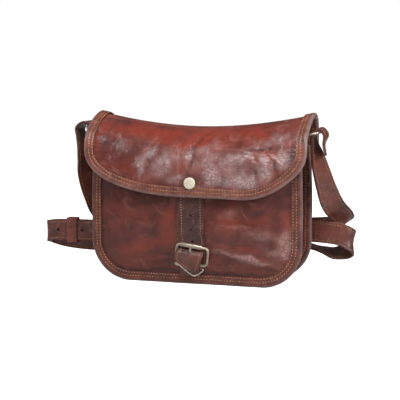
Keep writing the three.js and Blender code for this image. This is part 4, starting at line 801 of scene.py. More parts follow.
# The flap's profile at its ends and in its middle: reach in shares of the front and back planes, height
# in shares of the bag's height.
FLAP_PROFILE = [
    dict(endReach=1, endHeight=0.688, midReach=1, midHeight=0.688),
    dict(endReach=1, endHeight=0.8, midReach=1, midHeight=0.785),
    dict(endReach=0.99, endHeight=0.905, midReach=0.98, midHeight=0.925),
    dict(endReach=0.86, endHeight=0.975, midReach=0.84, midHeight=0.985),
    dict(endReach=0.58, endHeight=1, midReach=0.5, midHeight=1),
    dict(endReach=0.22, endHeight=0.995, midReach=0.12, midHeight=0.997),
    dict(endReach=-0.13, endHeight=0.972, midReach=-0.24, midHeight=0.972),
    dict(endReach=-0.42, endHeight=0.938, midReach=-0.53, midHeight=0.92),
    dict(endReach=-0.68, endHeight=0.892, midReach=-0.76, midHeight=0.845),
    dict(endReach=-0.8, endHeight=0.84, midReach=-0.9, midHeight=0.77),
    dict(endReach=-0.84, endHeight=0.785, midReach=-0.965, midHeight=0.69),
    dict(endReach=-0.89, endHeight=0.69, midReach=-0.995, midHeight=0.61),
    dict(endReach=-0.94, endHeight=0.59, midReach=-1, midHeight=0.53),
    dict(endReach=-0.98, endHeight=0.48, midReach=-1, midHeight=0.42),
]
FLAP_FOLDS = [
    dict(x=0.62, z=0.83, reach=0.3, spread=0.06, turn=-22, height=-2.4),
    dict(x=0.56, z=0.745, reach=0.26, spread=0.06, turn=-24, height=1.8),
    dict(x=0.02, z=0.74, reach=0.13, spread=0.05, turn=80, height=-1.6),
    dict(x=0.3, z=0.68, reach=0.16, spread=0.06, turn=-60, height=1.3),
    dict(x=-0.48, z=0.7, reach=0.2, spread=0.07, turn=82, height=1.8),
    dict(x=-0.32, z=0.72, reach=0.2, spread=0.06, turn=84, height=-1.2),
    dict(x=0.42, z=0.6, reach=0.2, spread=0.05, turn=-15, height=1.2),
]
# Finer creases of the flap.
FLAP_CREASES = [
    dict(x=0.52, z=0.86, reach=0.34, spread=0.016, turn=-24, height=-1.0),
    dict(x=0.7, z=0.79, reach=0.2, spread=0.014, turn=-40, height=0.8),
    dict(x=0.44, z=0.79, reach=0.2, spread=0.014, turn=-8, height=-0.8),
    dict(x=0.62, z=0.72, reach=0.16, spread=0.016, turn=-55, height=-0.9),
    dict(x=0.05, z=0.78, reach=0.2, spread=0.014, turn=84, height=0.8),
    dict(x=0.12, z=0.7, reach=0.14, spread=0.014, turn=72, height=-0.8),
    dict(x=-0.1, z=0.7, reach=0.13, spread=0.016, turn=100, height=-0.7),
    dict(x=-0.22, z=0.69, reach=0.12, spread=0.018, turn=112, height=0.8),
    dict(x=-0.62, z=0.8, reach=0.16, spread=0.022, turn=95, height=-0.35),
    dict(x=0.3, z=0.92, reach=0.2, spread=0.014, turn=-14, height=0.6),
    dict(x=0.82, z=0.86, reach=0.14, spread=0.014, turn=-70, height=-0.8),
]
# Painted grey highlights on the bulges; darker places, partly stains, partly painted shade; redder places.
FLAP_HIGHLIGHT_BUMPS = [
    dict(x=0.52, z=0.62, reach=0.09, spread=0.07, turn=0, height=1.2),
    dict(x=0.86, z=0.75, reach=0.09, spread=0.07, turn=60, height=1.1),
    dict(x=0.69, z=0.69, reach=0.11, spread=0.05, turn=100, height=0.9),
    dict(x=0.44, z=0.76, reach=0.11, spread=0.06, turn=20, height=0.8),
    dict(x=0.17, z=0.655, reach=0.1, spread=0.05, turn=95, height=0.9),
    dict(x=-0.28, z=0.72, reach=0.14, spread=0.09, turn=60, height=0.75),
    dict(x=-0.47, z=0.7, reach=0.12, spread=0.03, turn=84, height=0.8),
    dict(x=0.3, z=0.71, reach=0.34, spread=0.13, turn=0, height=0.5),
    dict(x=0.8, z=0.87, reach=0.2, spread=0.05, turn=14, height=0.55),
    dict(x=0.05, z=0.8, reach=0.16, spread=0.04, turn=20, height=0.4),
    dict(x=-0.14, z=0.63, reach=0.1, spread=0.05, turn=0, height=0.6),
    dict(x=0.3, z=0.625, reach=0.16, spread=0.05, turn=0, height=0.7),
]
FLAP_STAINS_AND_SHADE = [
    dict(x=-0.7, z=0.97, reach=0.24, spread=0.06, turn=-6, height=0.9),
    dict(x=-0.36, z=0.935, reach=0.2, spread=0.03, turn=-12, height=0.6),
    dict(x=-0.12, z=0.87, reach=0.13, spread=0.03, turn=30, height=0.5),
    dict(x=0.74, z=0.955, reach=0.2, spread=0.03, turn=8, height=0.7),
    dict(x=0.06, z=0.86, reach=0.16, spread=0.014, turn=40, height=0.5),
    dict(x=-0.64, z=0.8, reach=0.28, spread=0.1, turn=-8, height=0.7),
    dict(x=-0.02, z=0.73, reach=0.15, spread=0.03, turn=88, height=0.8),
    # Painted shadow round the press stud.
    dict(x=0.0, z=0.615, reach=0.085, spread=0.085, turn=0, height=0.9),
    dict(x=0.6, z=0.66, reach=0.1, spread=0.02, turn=100, height=0.8),
    dict(x=0.77, z=0.71, reach=0.13, spread=0.025, turn=105, height=0.9),
    dict(x=0.94, z=0.79, reach=0.14, spread=0.035, turn=75, height=0.7),
    dict(x=0.3, z=0.64, reach=0.1, spread=0.025, turn=80, height=0.6),
    dict(x=-0.38, z=0.73, reach=0.12, spread=0.03, turn=75, height=0.6),
    dict(x=-0.2, z=0.7, reach=0.13, spread=0.04, turn=100, height=0.4),
    dict(x=0.62, z=0.81, reach=0.28, spread=0.022, turn=6, height=0.7),
    dict(x=-0.85, z=0.84, reach=0.2, spread=0.04, turn=80, height=0.5),
]
FLAP_WARM = [
    dict(x=0.4, z=0.91, reach=0.46, spread=0.075, turn=2, height=1.0),
    dict(x=-0.42, z=0.89, reach=0.38, spread=0.08, turn=-8, height=0.9),
    dict(x=-0.05, z=0.84, reach=0.3, spread=0.06, turn=0, height=0.7),
    dict(x=-0.66, z=0.68, reach=0.2, spread=0.06, turn=-20, height=0.6),
    dict(x=0.62, z=0.78, reach=0.2, spread=0.03, turn=-4, height=0.6),
    dict(x=-0.9, z=0.87, reach=0.16, spread=0.04, turn=90, height=0.6),
    dict(x=0.36, z=0.62, reach=0.1, spread=0.03, turn=0, height=0.5),
]


def profile_points(reach, height, sag):
    points = []
    for row in FLAP_PROFILE:
        lift = float(smooth(row[height], 0.6, 0.95))
        plane = FLAP_BACK if row[reach] > 0 else FLAP_FRONT
        points.append((row[reach] * plane, row[height] * BAG_HEIGHT - sag * lift))
    return points


END_PROFILE = profile_points("endReach", "endHeight", 0)
MID_PROFILE = profile_points("midReach", "midHeight", FLAP_SAG)


def flap_base(x, along):
    blend = (np.minimum(1, np.abs(x) / (FLAP_WIDTH / 2)) ** 1.9)[:, None]
    place = catmull(MID_PROFILE, along) * (1 - blend) + catmull(END_PROFILE, along) * blend
    return np.stack([x, place[:, 0], place[:, 1]], 1)


def flap_edge_height(x, inset):
    """The lower edge, a little lower to the right of the middle."""
    share = np.minimum(1, np.abs(x) / (FLAP_WIDTH / 2 - inset))
    rounding = np.maximum(0, 1 - share ** FLAP_ROUNDNESS) ** (1 / FLAP_ROUNDNESS)
    lop = FLAP_LOP * np.exp(-(((x - HALF_WIDTH * 0.64) / (HALF_WIDTH * 0.29)) ** 2))
    return FLAP_CORNER_HEIGHT - (FLAP_DROP - inset) * rounding - lop * rounding


def flap_end(x, inset):
    """Where along the profile the flap meets its lower edge."""
    target = flap_edge_height(x, inset)
    low, high = np.full_like(x, 0.55), np.ones_like(x)
    for _ in range(22):
        middle = (low + high) / 2
        above = flap_base(x, middle)[:, 2] > target
        low, high = np.where(above, middle, low), np.where(above, high, middle)
    return (low + high) / 2


def flap_point(x, along, creases=True):
    base = flap_base(x, along)
    front = smooth(-base[:, 1], FLAP_FRONT * 0.3, FLAP_FRONT * 0.8)
    edge = smooth(FLAP_WIDTH / 2 - np.abs(x), BINDING_WIDTH, BINDING_WIDTH * 2.4)
    over = base[:, 2] - flap_edge_height(x, 0 * x)
    low = smooth(over, BINDING_WIDTH, BINDING_WIDTH * 2.2)
    crease = fold_at(FLAP_FOLDS, x, base[:, 2]) * front * edge * low
    if creases:
        crease = crease + fold_at(FLAP_CREASES, x, base[:, 2]) * front * edge * low
        bulge = 1.1 * fold_at(FLAP_HIGHLIGHT_BUMPS, x, base[:, 2]) - 0.8 * fold_at(FLAP_STAINS_AND_SHADE, x, base[:, 2])
        crease = crease + bulge * front * edge * low
        crease = crease + (0.45 * noise(x / 13 + 7, base[:, 2] / 9, 21)
                           + 0.2 * noise(x / 5 + 3, base[:, 2] / 4.5, 22)) * front * edge * low
        crackle = 1 - np.abs(noise(x / 9 + base[:, 2] / 14, base[:, 2] / 7 - x / 17, 23))
        crease = crease - 0.55 * smooth(crackle, 0.8, 1) * front * edge * low * smooth(x, -20, 50)
        inwards = np.minimum(over, FLAP_WIDTH / 2 - np.abs(x))
        round_edge = np.arctan2(x / 125, (152 - base[:, 2]) / 52) * 150
        pucker = smooth(inwards, BINDING_WIDTH - 0.5, BINDING_WIDTH + 1.5)
        pucker = pucker * (1 - smooth(inwards, BINDING_WIDTH + 2, BINDING_WIDTH + 13)) * front
        crease = crease + pucker * (0.45 * noise(round_edge / 4.6, 0 * x, 29) + 0.15)
        stud = np.hypot(x, base[:, 2] - STUD_HEIGHT)
        star = noise(np.arctan2(x, base[:, 2] - STUD_HEIGHT) * 3.2 + 20, 0 * x, 31)
        crease = crease + star * 0.5 * smooth(stud, 5, 8) * (1 - smooth(stud, 9, 20)) * front
        crease = crease + 1.0 * (1 - smooth(stud, 3, 13)) * front
    base[:, 1] -= crease * 0.9
    base[:, 2] += crease * 0.35
    return base


def lay_flap(u, v):
    x = (FLAP_WIDTH / 2 - FLAP_NOSE) * np.sin((u - 0.5) * math.pi)
    along = flap_end(x, 0 * x + FLAP_NOSE) * v
    return flap_point(x, along), np.stack([x, along * 300], 1)


# Its mark colours: a painted grey highlight, a dark for stains and painted shade, and a redder red.
flap_leather = waxed_leather("flap_hide", (0.2, 0.043, 0.029), (0.09, 0.02, 0.016), (0.3, 0.125, 0.105),
                             gloss=0.29, coat=0.2, grain=0.8, pebble=520.0, clouds=34.0, streaks=48.0,
                             finish_and_painted_light=((0.37, 0.27, 0.265), (0.042, 0.016, 0.016), (0.22, 0.028, 0.013)))
flap = leather_sheet("flap_hide_sheet", 160, 190, lay_flap, FLAP_WALL)
paint_marks_and_light(flap, FLAP_HIGHLIGHT_BUMPS, FLAP_STAINS_AND_SHADE, FLAP_WARM)
flap.data.materials.append(flap_leather)
flap.data.materials.append(RAW_EDGE)
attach(flap, "root")
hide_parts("flap")

# Flap binding.
# The same folded strip round the flap's two sides and its lower edge, with two rows of thread. Its fold
# is the pale line round the flap, part rubbed and part painted sheen.
FLAP_ROWS = (5.9, 10)
flap_path = fold_path(BINDING_WIDTH, -FLAP_SHELL - BINDING_WALL / 2, FLAP_SHELL + BINDING_WALL / 2, FLAP_ROWS,
                      0.3)


def edge_station(t, inset):
    """t runs 0 to 1 down the left side, to 2 along the lower edge and to 3 up the right side."""
    half = FLAP_WIDTH / 2 - inset
    x = half * np.sin((np.clip(t, 1, 2) - 1.5) * math.pi)
    return x, flap_end(x, inset) * np.clip(np.minimum(t, 3 - t), 0, 1)


def flap_normal(x, along):
    across = flap_point(x + 0.6, along, False) - flap_point(x - 0.6, along, False)
    lower, upper = np.minimum(1, along + 0.004), np.maximum(0, along - 0.004)
    down = flap_point(x, lower, False) - flap_point(x, upper, False)
    normal = np.cross(across, down)
    return normal / np.linalg.norm(normal, axis=1)[:, None]


dense = np.linspace(0, 3, 1200)
edge_line = flap_point(*edge_station(dense, 0 * dense + 6), False)
edge_run = np.concatenate([[0], np.cumsum(np.linalg.norm(np.diff(edge_line, axis=0), axis=1))])


def lay_flap_binding(u, v):
    t = np.interp(v * edge_run[-1], edge_run, dense)
    index = u * (len(flap_path) - 1)
    outward = np.interp(index, np.arange(len(flap_path)), flap_path[:, 0])
    rise = np.interp(index, np.arange(len(flap_path)), flap_path[:, 1])
    inset = np.maximum(-outward, FLAP_NOSE)
    x, along = edge_station(t, inset)
    normal = flap_normal(x, along)
    near = flap_point(*edge_station(t, 0 * t + FLAP_NOSE), False)
    far = flap_point(*edge_station(t, 0 * t + BINDING_WIDTH * 0.55), False)
    out = near - far
    out = out / np.linalg.norm(out, axis=1)[:, None]
    beyond = np.maximum(0, outward + FLAP_NOSE)
    run = v * edge_run[-1]
    ripple = 0.14 * noise(run / 5, index / 9, 41) + 0.12 * np.sin(run / STITCH_PITCH * 2 * math.pi) * (
        np.exp(-((inset - BINDING_WIDTH) / 1.2) ** 2))
    lift = rise * (1 + ripple * 0.12)
    points = flap_point(x, along, False) + normal * lift[:, None] + out * beyond[:, None]
    return points, np.stack([-outward, run], 1)


flap_binding = leather_sheet("flap_binding_strip", len(flap_path) - 1, 470, lay_flap_binding, BINDING_WALL,
                             edge=0.25)
flap_binding.data.materials.append(waxed_leather(
    "flap_binding_hide", (0.2, 0.062, 0.041), (0.085, 0.029, 0.023), (0.3, 0.15, 0.125),
    gloss=0.34, coat=0.16, clouds=50.0, streaks=80.0, rows=FLAP_ROWS,
    worn_and_sheen_edge=(0.0, 3.8, (0.23, 0.15, 0.14))))
flap_binding.data.materials.append(RAW_EDGE)
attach(flap_binding, "root")
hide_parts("flap_binding")
lines = []
for row in FLAP_ROWS:
    t = np.interp(np.linspace(4, edge_run[-1] - 4, 1500), edge_run, dense)
    x, along = edge_station(t, 0 * t + row)
    normal = flap_normal(x, along)
    for way in (1, -1):
        lines.append((flap_point(x, along, False) + normal * way * (FLAP_NOSE - 0.22), normal * way))
stitches = sew("flap_stitches", lines, seed=9)

# Closure strap and its backing.
# A strip of browner hide is sewn down the middle of the front. Over it a thick dark strap with punched
# holes comes from under the flap, passes under the buckle's roller and ends in a slanted tip.
CLOSURE_X, CLOSURE_SHIFT = 1, 2.4
BACKING_WALL, STRAP_WALL, CLOSURE_WIDTH = 1.4, 1.9, 27.5
HOLE_DIAMETER, HOLE_PITCH, HOLE_RISE = 3.6, 15.5, 27.3
BACKING_FOOT, STRAP_HEAD, STUD_DISC_RADIUS = 15.5, 8.5, 4.3
BUCKLE_HEIGHT, BUCKLE_ROLL = 35, math.radians(-8)
WIRE_RADIUS, FRAME_HALF, FRAME_TOP, FRAME_BOTTOM = 1.5, 17.7, 11, -9.5
ROLLER_WALL, ROLLER_LENGTH, ROLLER_SHIFT = 0.7, 24.5, -2
PRONG_PLACE, PRONG_WIDTH, PRONG_SLOT = -1.4, 2.2, 7.6
SEW_INSET = 3.0
STRAP_LEVEL = 2 * GAP + BACKING_WALL + STRAP_WALL / 2
ROLLER_RADIUS = WIRE_RADIUS + GAP + ROLLER_WALL
BAR_LEVEL = STRAP_LEVEL + STRAP_WALL / 2 + GAP + ROLLER_RADIUS
# The strap's lower end: v in shares of the frame's top, w of the bar's level, edges in shares of the
# strap's width.
STRAP_TIP = [
    dict(v=1.36, w=0.385, left=-0.55, right=0.45),
    dict(v=1, w=0.405, left=-0.56, right=0.445),
    dict(v=0.78, w=0.45, left=-0.565, right=0.45),
    dict(v=0.6, w=0.725, left=-0.565, right=0.46),
    dict(v=0.445, w=1.23, left=-0.565, right=0.465),
    dict(v=0.235, w=1.73, left=-0.63, right=0.47),
    dict(v=-0.23, w=1.865, left=-0.645, right=0.445),
    dict(v=-0.68, w=1.865, left=-0.565, right=0.4),
    dict(v=-1.135, w=1.775, left=-0.195, right=0.35),
    dict(v=-1.51, w=1.51, left=0.02, right=0.3),
    dict(v=-1.67, w=1.39, left=0.13, right=0.255),
]


def plain_face(x, z):
    return front_face(np.array([float(x)]), np.array([float(z)]), False)[0]


def turned(vector, axis, angle):
    return (vector * math.cos(angle) + np.cross(axis, vector) * math.sin(angle)
            + axis * np.dot(axis, vector) * (1 - math.cos(angle)))


buckle_place = np.array([CLOSURE_X, -plain_face(CLOSURE_X, BUCKLE_HEIGHT), BUCKLE_HEIGHT])
lean = (plain_face(CLOSURE_X, BUCKLE_HEIGHT + 1) - plain_face(CLOSURE_X, BUCKLE_HEIGHT - 1)) / 2
OUTWARDS = np.array([0, -1, -lean]) / math.hypot(1, lean)
BUCKLE_U = turned(np.array([1.0, 0, 0]), OUTWARDS, BUCKLE_ROLL)
BUCKLE_V = turned(np.array([0, -lean, 1]) / math.hypot(1, lean), OUTWARDS, BUCKLE_ROLL)


def on_buckle(u, v, w):
    """A place measured from the middle of the buckle: across it, up it and out of the bag."""
    return (buckle_place + np.multiply.outer(u, BUCKLE_U) + np.multiply.outer(v, BUCKLE_V)
            + np.multiply.outer(w, OUTWARDS))


def ribbon_frames(stations, steps):
    """Each station is (place, width direction, left edge, right edge)."""
    places, widths, lefts, rights = (np.array([s[i] for s in stations], dtype=float) for i in range(4))
    shares = np.linspace(0, 1, (len(stations) - 1) * steps + 1)
    tangent = catmull(places, np.minimum(1, shares + 1e-4)) - catmull(places, np.maximum(0, shares - 1e-4))
    tangent /= np.linalg.norm(tangent, axis=1)[:, None]
    width = catmull(widths, shares, even=True)
    width -= tangent * np.sum(width * tangent, axis=1)[:, None]
    width /= np.linalg.norm(width, axis=1)[:, None]
    edges = catmull(np.stack([lefts, rights], 1), shares, even=True)
    return dict(place=catmull(places, shares), width=width, normal=np.cross(tangent, width), left=edges[:, 0],
                right=edges[:, 1])


def frame_run(frames):
    middle = frames["place"]
    return np.concatenate([[0], np.cumsum(np.linalg.norm(np.diff(middle, axis=0), axis=1))])


def ribbon(name, frames, wall, edge, columns=14, crumple=0.0, seed=51):
    """A strap of hide along its frames. Its flat measure is from the strap's middle and along it."""
    count = len(frames["place"])
    run = frame_run(frames)

    def lay(u, v):
        index = np.rint(v * (count - 1)).astype(int)
        left, right = frames["left"][index], frames["right"][index]
        across = left + (right - left) * u
        wave = crumple * noise(run[index] / 9 + seed, u * 2.2, seed)
        points = frames["place"][index] + frames["width"][index] * across[:, None]
        points = points + frames["normal"][index] * wave[:, None]
        return points, np.stack([across, run[index]], 1)

    return leather_sheet(name, columns, count - 1, lay, wall, edge)


def ribbon_rows(frames, wall, inset, start=3, stop=-3):
    """Rows of stitches along both edges of a strap, on its two faces."""
    lines = []
    part = slice(start, stop)
    for side in (1, -1):
        for edge in (frames["left"] + inset, frames["right"] - inset):
            points = frames["place"] + frames["width"] * edge[:, None]
            points = points + frames["normal"] * side * (wall / 2 - 0.02)
            lines.append((points[part], frames["normal"][part] * side))
    return lines


def punch(piece, spots, diameter, depth=8):
    """Cuts round holes through a strap, each at a place and in a direction."""
    bpy.ops.object.select_all(action="DESELECT")
    for place, direction in spots:
        bpy.ops.mesh.primitive_cylinder_add(vertices=20, radius=diameter / 2 * MM, depth=depth * MM,
                                            location=in_frame(place),
                                            rotation=Vector(direction).to_track_quat("Z", "Y").to_euler())
    drills = [o for o in bpy.data.objects if o.name.startswith("Cylinder")]
    for drill in drills:
        drill.select_set(True)
    bpy.context.view_layer.objects.active = drills[0]
    if len(drills) > 1:
        bpy.ops.object.join()
    cutter = bpy.context.object
    bpy.ops.object.select_all(action="DESELECT")
    piece.select_set(True)
    bpy.context.view_layer.objects.active = piece
    bpy.ops.object.modifier_add(type="BOOLEAN")
    cut = piece.modifiers[-1]
    cut.operation = "DIFFERENCE"
    cut.object = cutter
    bpy.ops.object.modifier_apply(modifier=cut.name)
    bpy.ops.object.shade_smooth_by_angle(angle=HIDE_ANGLE)
    bpy.data.objects.remove(cutter)


backing_top = STUD_HEIGHT - STUD_DISC_RADIUS - 4 * GAP
backing_frames = ribbon_frames([
    (np.array([CLOSURE_X - CLOSURE_SHIFT, -(plain_face(CLOSURE_X, z) + GAP + BACKING_WALL / 2), z]),
     (1, 0, 0), -BACKING_WIDTH / 2, BACKING_WIDTH / 2)
    for z in np.linspace(backing_top, BACKING_FOOT, 12)], 6)
backing_leather = waxed_leather("backing_hide", (0.12, 0.036, 0.021), (0.055, 0.019, 0.013),
                                (0.18, 0.075, 0.05), gloss=0.45, coat=0.08, clouds=70.0)
backing = ribbon("closure_backing_strip", backing_frames, BACKING_WALL, 0.3, crumple=0.08, seed=52)
backing.data.materials.append(backing_leather)
backing.data.materials.append(RAW_EDGE)
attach(backing, "root")
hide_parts("closure_backing")

strap_top, strap_low = STUD_HEIGHT + STRAP_HEAD, BUCKLE_HEIGHT + 2 * FRAME_TOP


def closure_middle(z):
    """The strap drifts sideways on its way down to the buckle."""
    return CLOSURE_X - CLOSURE_SHIFT * (0.3 + 0.7 * float(smooth(z, strap_low - 8, strap_top)))


closure_stations = [
    (np.array([closure_middle(z), -(plain_face(CLOSURE_X, z) + STRAP_LEVEL), z]), (1, 0, 0),
     -CLOSURE_WIDTH / 2, CLOSURE_WIDTH / 2)
    for z in np.linspace(strap_top, strap_low, 8)]
closure_stations += [
    (on_buckle(0.0, row["v"] * FRAME_TOP, row["w"] * BAR_LEVEL), BUCKLE_U, row["left"] * CLOSURE_WIDTH,
     row["right"] * CLOSURE_WIDTH) for row in STRAP_TIP]
closure_frames = ribbon_frames(closure_stations, 7)
strap_leather = waxed_leather("strap_hide", (0.082, 0.028, 0.022), (0.036, 0.015, 0.013),
                              (0.13, 0.062, 0.052), gloss=0.4, coat=0.1, clouds=60.0, streaks=110.0,
                              grain=0.45,
                              rows=(-CLOSURE_WIDTH / 2 + SEW_INSET, CLOSURE_WIDTH / 2 - SEW_INSET),
                              finish_and_painted_light=((0.16, 0.1, 0.09), (0.025, 0.011, 0.01), (0.17, 0.048, 0.034)))
closure_strap = ribbon("closure_strap_hide", closure_frames, STRAP_WALL, 0.4, columns=18)
# A painted grey highlight low on the tip, a darker patch above the buckle's frame and a redder patch.
paint_marks_and_light(closure_strap, [dict(x=-0.05, z=0.16, reach=0.1, spread=0.03, turn=-20, height=0.5)],
             [dict(x=0.0, z=0.3, reach=0.1, spread=0.05, turn=0, height=0.6)],
             [dict(x=0.0, z=0.13, reach=0.3, spread=0.12, turn=0, height=0.9)])
closure_strap.data.materials.append(strap_leather)
closure_strap.data.materials.append(RAW_EDGE)
spots = []
for hole in range(2):
    z = BUCKLE_HEIGHT + HOLE_RISE + hole * HOLE_PITCH
    spots.append(((closure_middle(z), -plain_face(CLOSURE_X, z) - STRAP_LEVEL, z), (0, 1, 0)))
spots.append((on_buckle(PRONG_PLACE, HOLE_PITCH, STRAP_LEVEL), tuple(OUTWARDS)))
spots.append(((0, -plain_face(0, STUD_HEIGHT) - STRAP_LEVEL, STUD_HEIGHT), (0, 1, 0)))
punch(closure_strap, spots, HOLE_DIAMETER)
bpy.ops.object.select_all(action="DESELECT")
bpy.ops.mesh.primitive_cube_add(size=1)
slot_cutter = bpy.context.object
prong_level = BAR_LEVEL + WIRE_RADIUS + GAP + 0.8
slot_size = (PRONG_WIDTH + 3 * GAP, PRONG_SLOT, PRONG_SLOT / 2)
slot_place = on_buckle(PRONG_PLACE, FRAME_TOP * 0.2 + PRONG_SLOT / 2, prong_level)
for vertex in slot_cutter.data.vertices:
    u, v, w = (vertex.co[i] * slot_size[i] for i in range(3))
    vertex.co = in_frame(slot_place + BUCKLE_U * u + BUCKLE_V * v + OUTWARDS * w)
closure_strap.select_set(True)
slot_cutter.select_set(False)
bpy.context.view_layer.objects.active = closure_strap
bpy.ops.object.modifier_add(type="BOOLEAN")
closure_strap.modifiers[-1].object = slot_cutter
bpy.ops.object.modifier_apply(modifier=closure_strap.modifiers[-1].name)
bpy.ops.object.shade_smooth_by_angle(angle=HIDE_ANGLE)
bpy.data.objects.remove(slot_cutter)
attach(closure_strap, "root")
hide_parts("closure_strap")
closure_rows = ribbon_rows(closure_frames, STRAP_WALL, SEW_INSET, start=8, stop=-9)
stitches = sew("closure_stitches", closure_rows, pitch=2.9, length=2.2, seed=12)

# Buckle.
# A frame of thick wire with rounded corners carries a rolled tube on its top bar and a flat prong on its
# lower bar. All of it is old nickel plate, yellowed in patches. A thin loop holds the strap's tip.
CHAPE_RADIUS = WIRE_RADIUS + GAP + 1.2
LOOP_WIRE = 0.95
TIP_LOOP = [
    dict(u=-0.735, v=1.46, w=-0.46),
    dict(u=0, v=1.46, w=-0.46),
    dict(u=0.68, v=1.46, w=-0.46),
    dict(u=0.77, v=1.58, w=-0.13),
    dict(u=0.655, v=1.85, w=0.2),
    dict(u=0.465, v=2.17, w=0.4),
    dict(u=0.26, v=2.34, w=0.53),
    dict(u=0.08, v=2.19, w=0.73),
    dict(u=-0.43, v=1.57, w=1.07),
    dict(u=-0.85, v=1.06, w=1.2),
    dict(u=-0.97, v=1.22, w=0.8),
    dict(u=-0.905, v=1.43, w=0),
]


def plated_metal(name, bright, dull, roughness, metallic=0.9):
    material = bpy.data.materials.new(name)
    material.use_nodes = True
    nodes, link = material.node_tree.nodes, material.node_tree.links.new
    skin = nodes["Principled BSDF"]
    place = nodes.new("ShaderNodeTexCoord")
    stain = nodes.new("ShaderNodeTexNoise")
    stain.inputs["Scale"].default_value = 260.0
    stain.inputs["Detail"].default_value = 6.0
    stain.inputs["Roughness"].default_value = 0.65
    link(place.outputs["Object"], stain.inputs["Vector"])
    spread = nodes.new("ShaderNodeMapRange")
    spread.inputs["From Min"].default_value = 0.38
    spread.inputs["From Max"].default_value = 0.66
    link(stain.outputs["Fac"], spread.inputs["Value"])
    blend = nodes.new("ShaderNodeMix")
    blend.data_type = "RGBA"
    blend.inputs[6].default_value = (*bright, 1)
    blend.inputs[7].default_value = (*dull, 1)
    link(spread.outputs["Result"], blend.inputs[0])
    link(blend.outputs[2], skin.inputs["Base Color"])
    rough = nodes.new("ShaderNodeMapRange")
    rough.inputs["To Min"].default_value = roughness
    rough.inputs["To Max"].default_value = roughness + 0.2
    link(spread.outputs["Result"], rough.inputs["Value"])
    link(rough.outputs["Result"], skin.inputs["Roughness"])
    scratch = nodes.new("ShaderNodeTexNoise")
    scratch.inputs["Scale"].default_value = 2200.0
    link(place.outputs["Object"], scratch.inputs["Vector"])
    bump = nodes.new("ShaderNodeBump")
    bump.inputs["Strength"].default_value = 0.12
    bump.inputs["Distance"].default_value = 0.0002
    link(scratch.outputs["Fac"], bump.inputs["Height"])
    link(bump.outputs["Normal"], skin.inputs["Normal"])
    skin.inputs["Metallic"].default_value = metallic
    return material


NICKEL = plated_metal("old_nickel", (0.62, 0.53, 0.45), (0.36, 0.29, 0.22), 0.32)


def turn_faces_out():
    bpy.ops.object.mode_set(mode="EDIT")
    bpy.ops.mesh.select_all(action="SELECT")
    bpy.ops.mesh.normals_make_consistent(inside=False)
    bpy.ops.object.mode_set(mode="OBJECT")


def wire_piece(name, path, radius, node, material=None):
    """A ring whose round section is carried along a closed path."""
    path = np.asarray(path)
    count, sides = len(path), 14
    bpy.ops.object.select_all(action="DESELECT")
    bpy.ops.mesh.primitive_torus_add(major_segments=count, minor_segments=sides, major_radius=1,
                                     minor_radius=0.2)
    piece = bpy.context.object
    piece.name = piece.data.name = name
    ahead = np.roll(path, -1, axis=0) - np.roll(path, 1, axis=0)
    ahead /= np.linalg.norm(ahead, axis=1)[:, None]
    plane = np.sum(np.cross(path, np.roll(path, -1, axis=0)), axis=0)
    plane /= np.linalg.norm(plane)
    side = np.cross(ahead, plane)
    side /= np.linalg.norm(side, axis=1)[:, None]
    rise = np.cross(side, ahead)
    angle = np.arange(sides) / sides * 2 * math.pi
    points = (path[:, None] + radius * (np.cos(angle)[None, :, None] * side[:, None]
                                        + np.sin(angle)[None, :, None] * rise[:, None]))
    piece.data.vertices.foreach_set("co", in_frame(points.reshape(-1, 3)).ravel())
    turn_faces_out()
    bpy.ops.object.shade_smooth()
    piece.data.materials.append(material or NICKEL)
    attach(piece, "root")
    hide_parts(node)


def rounded_path(corners, place, steps=10):
    """A closed path round corners given as (u, v, radius, first angle)."""
    path = []
    for u, v, radius, first in corners:
        for angle in np.radians(first + np.linspace(0, 90, steps)):
            path.append(place(u + radius * math.cos(angle), v + radius * math.sin(angle)))
    return path


FRAME_CORNER = 4.2
frame_corners = [(FRAME_HALF - FRAME_CORNER, FRAME_TOP - FRAME_CORNER, FRAME_CORNER, 0),
                 (-FRAME_HALF + FRAME_CORNER, FRAME_TOP - FRAME_CORNER, FRAME_CORNER, 90),
                 (-FRAME_HALF + FRAME_CORNER, FRAME_BOTTOM + FRAME_CORNER, FRAME_CORNER, 180),
                 (FRAME_HALF - FRAME_CORNER, FRAME_BOTTOM + FRAME_CORNER, FRAME_CORNER, 270)]
frame_path = rounded_path(frame_corners, lambda u, v: on_buckle(u, v, BAR_LEVEL))
wire_piece("buckle_frame_wire", frame_path, WIRE_RADIUS, "buckle_frame")
loop_points = [on_buckle(row["u"] * FRAME_HALF, row["v"] * FRAME_BOTTOM, BAR_LEVEL + row["w"] * CHAPE_RADIUS)
               for row in TIP_LOOP]
loop_path = catmull(loop_points, np.arange(84) / 84, closed=True)
wire_piece("tip_loop_wire", loop_path, LOOP_WIRE, "tip_loop",
           material=plated_metal("bright_nickel", (0.78, 0.72, 0.66), (0.5, 0.44, 0.38), 0.28))

bpy.ops.object.select_all(action="DESELECT")
bpy.ops.mesh.primitive_cylinder_add(vertices=40, radius=ROLLER_RADIUS, depth=ROLLER_LENGTH)
roller = bpy.context.object
roller.name = roller.data.name = "buckle_roller_tube"
bpy.ops.object.mode_set(mode="EDIT")
bpy.ops.mesh.select_all(action="DESELECT")
bpy.ops.mesh.select_mode(type="FACE")
bpy.ops.object.mode_set(mode="OBJECT")
for face in roller.data.polygons:
    face.select = abs(face.normal.z) > 0.9
bpy.ops.object.mode_set(mode="EDIT")
bpy.ops.mesh.inset(thickness=ROLLER_WALL)
bpy.ops.mesh.bridge_edge_loops()
bpy.ops.object.mode_set(mode="OBJECT")
soften_edges(roller, 0.2, 2, 50)
roller_place = on_buckle(ROLLER_SHIFT, FRAME_TOP, BAR_LEVEL)
for vertex in roller.data.vertices:
    x, y, z = vertex.co
    vertex.co = in_frame(roller_place + OUTWARDS * x + BUCKLE_V * y + BUCKLE_U * z)
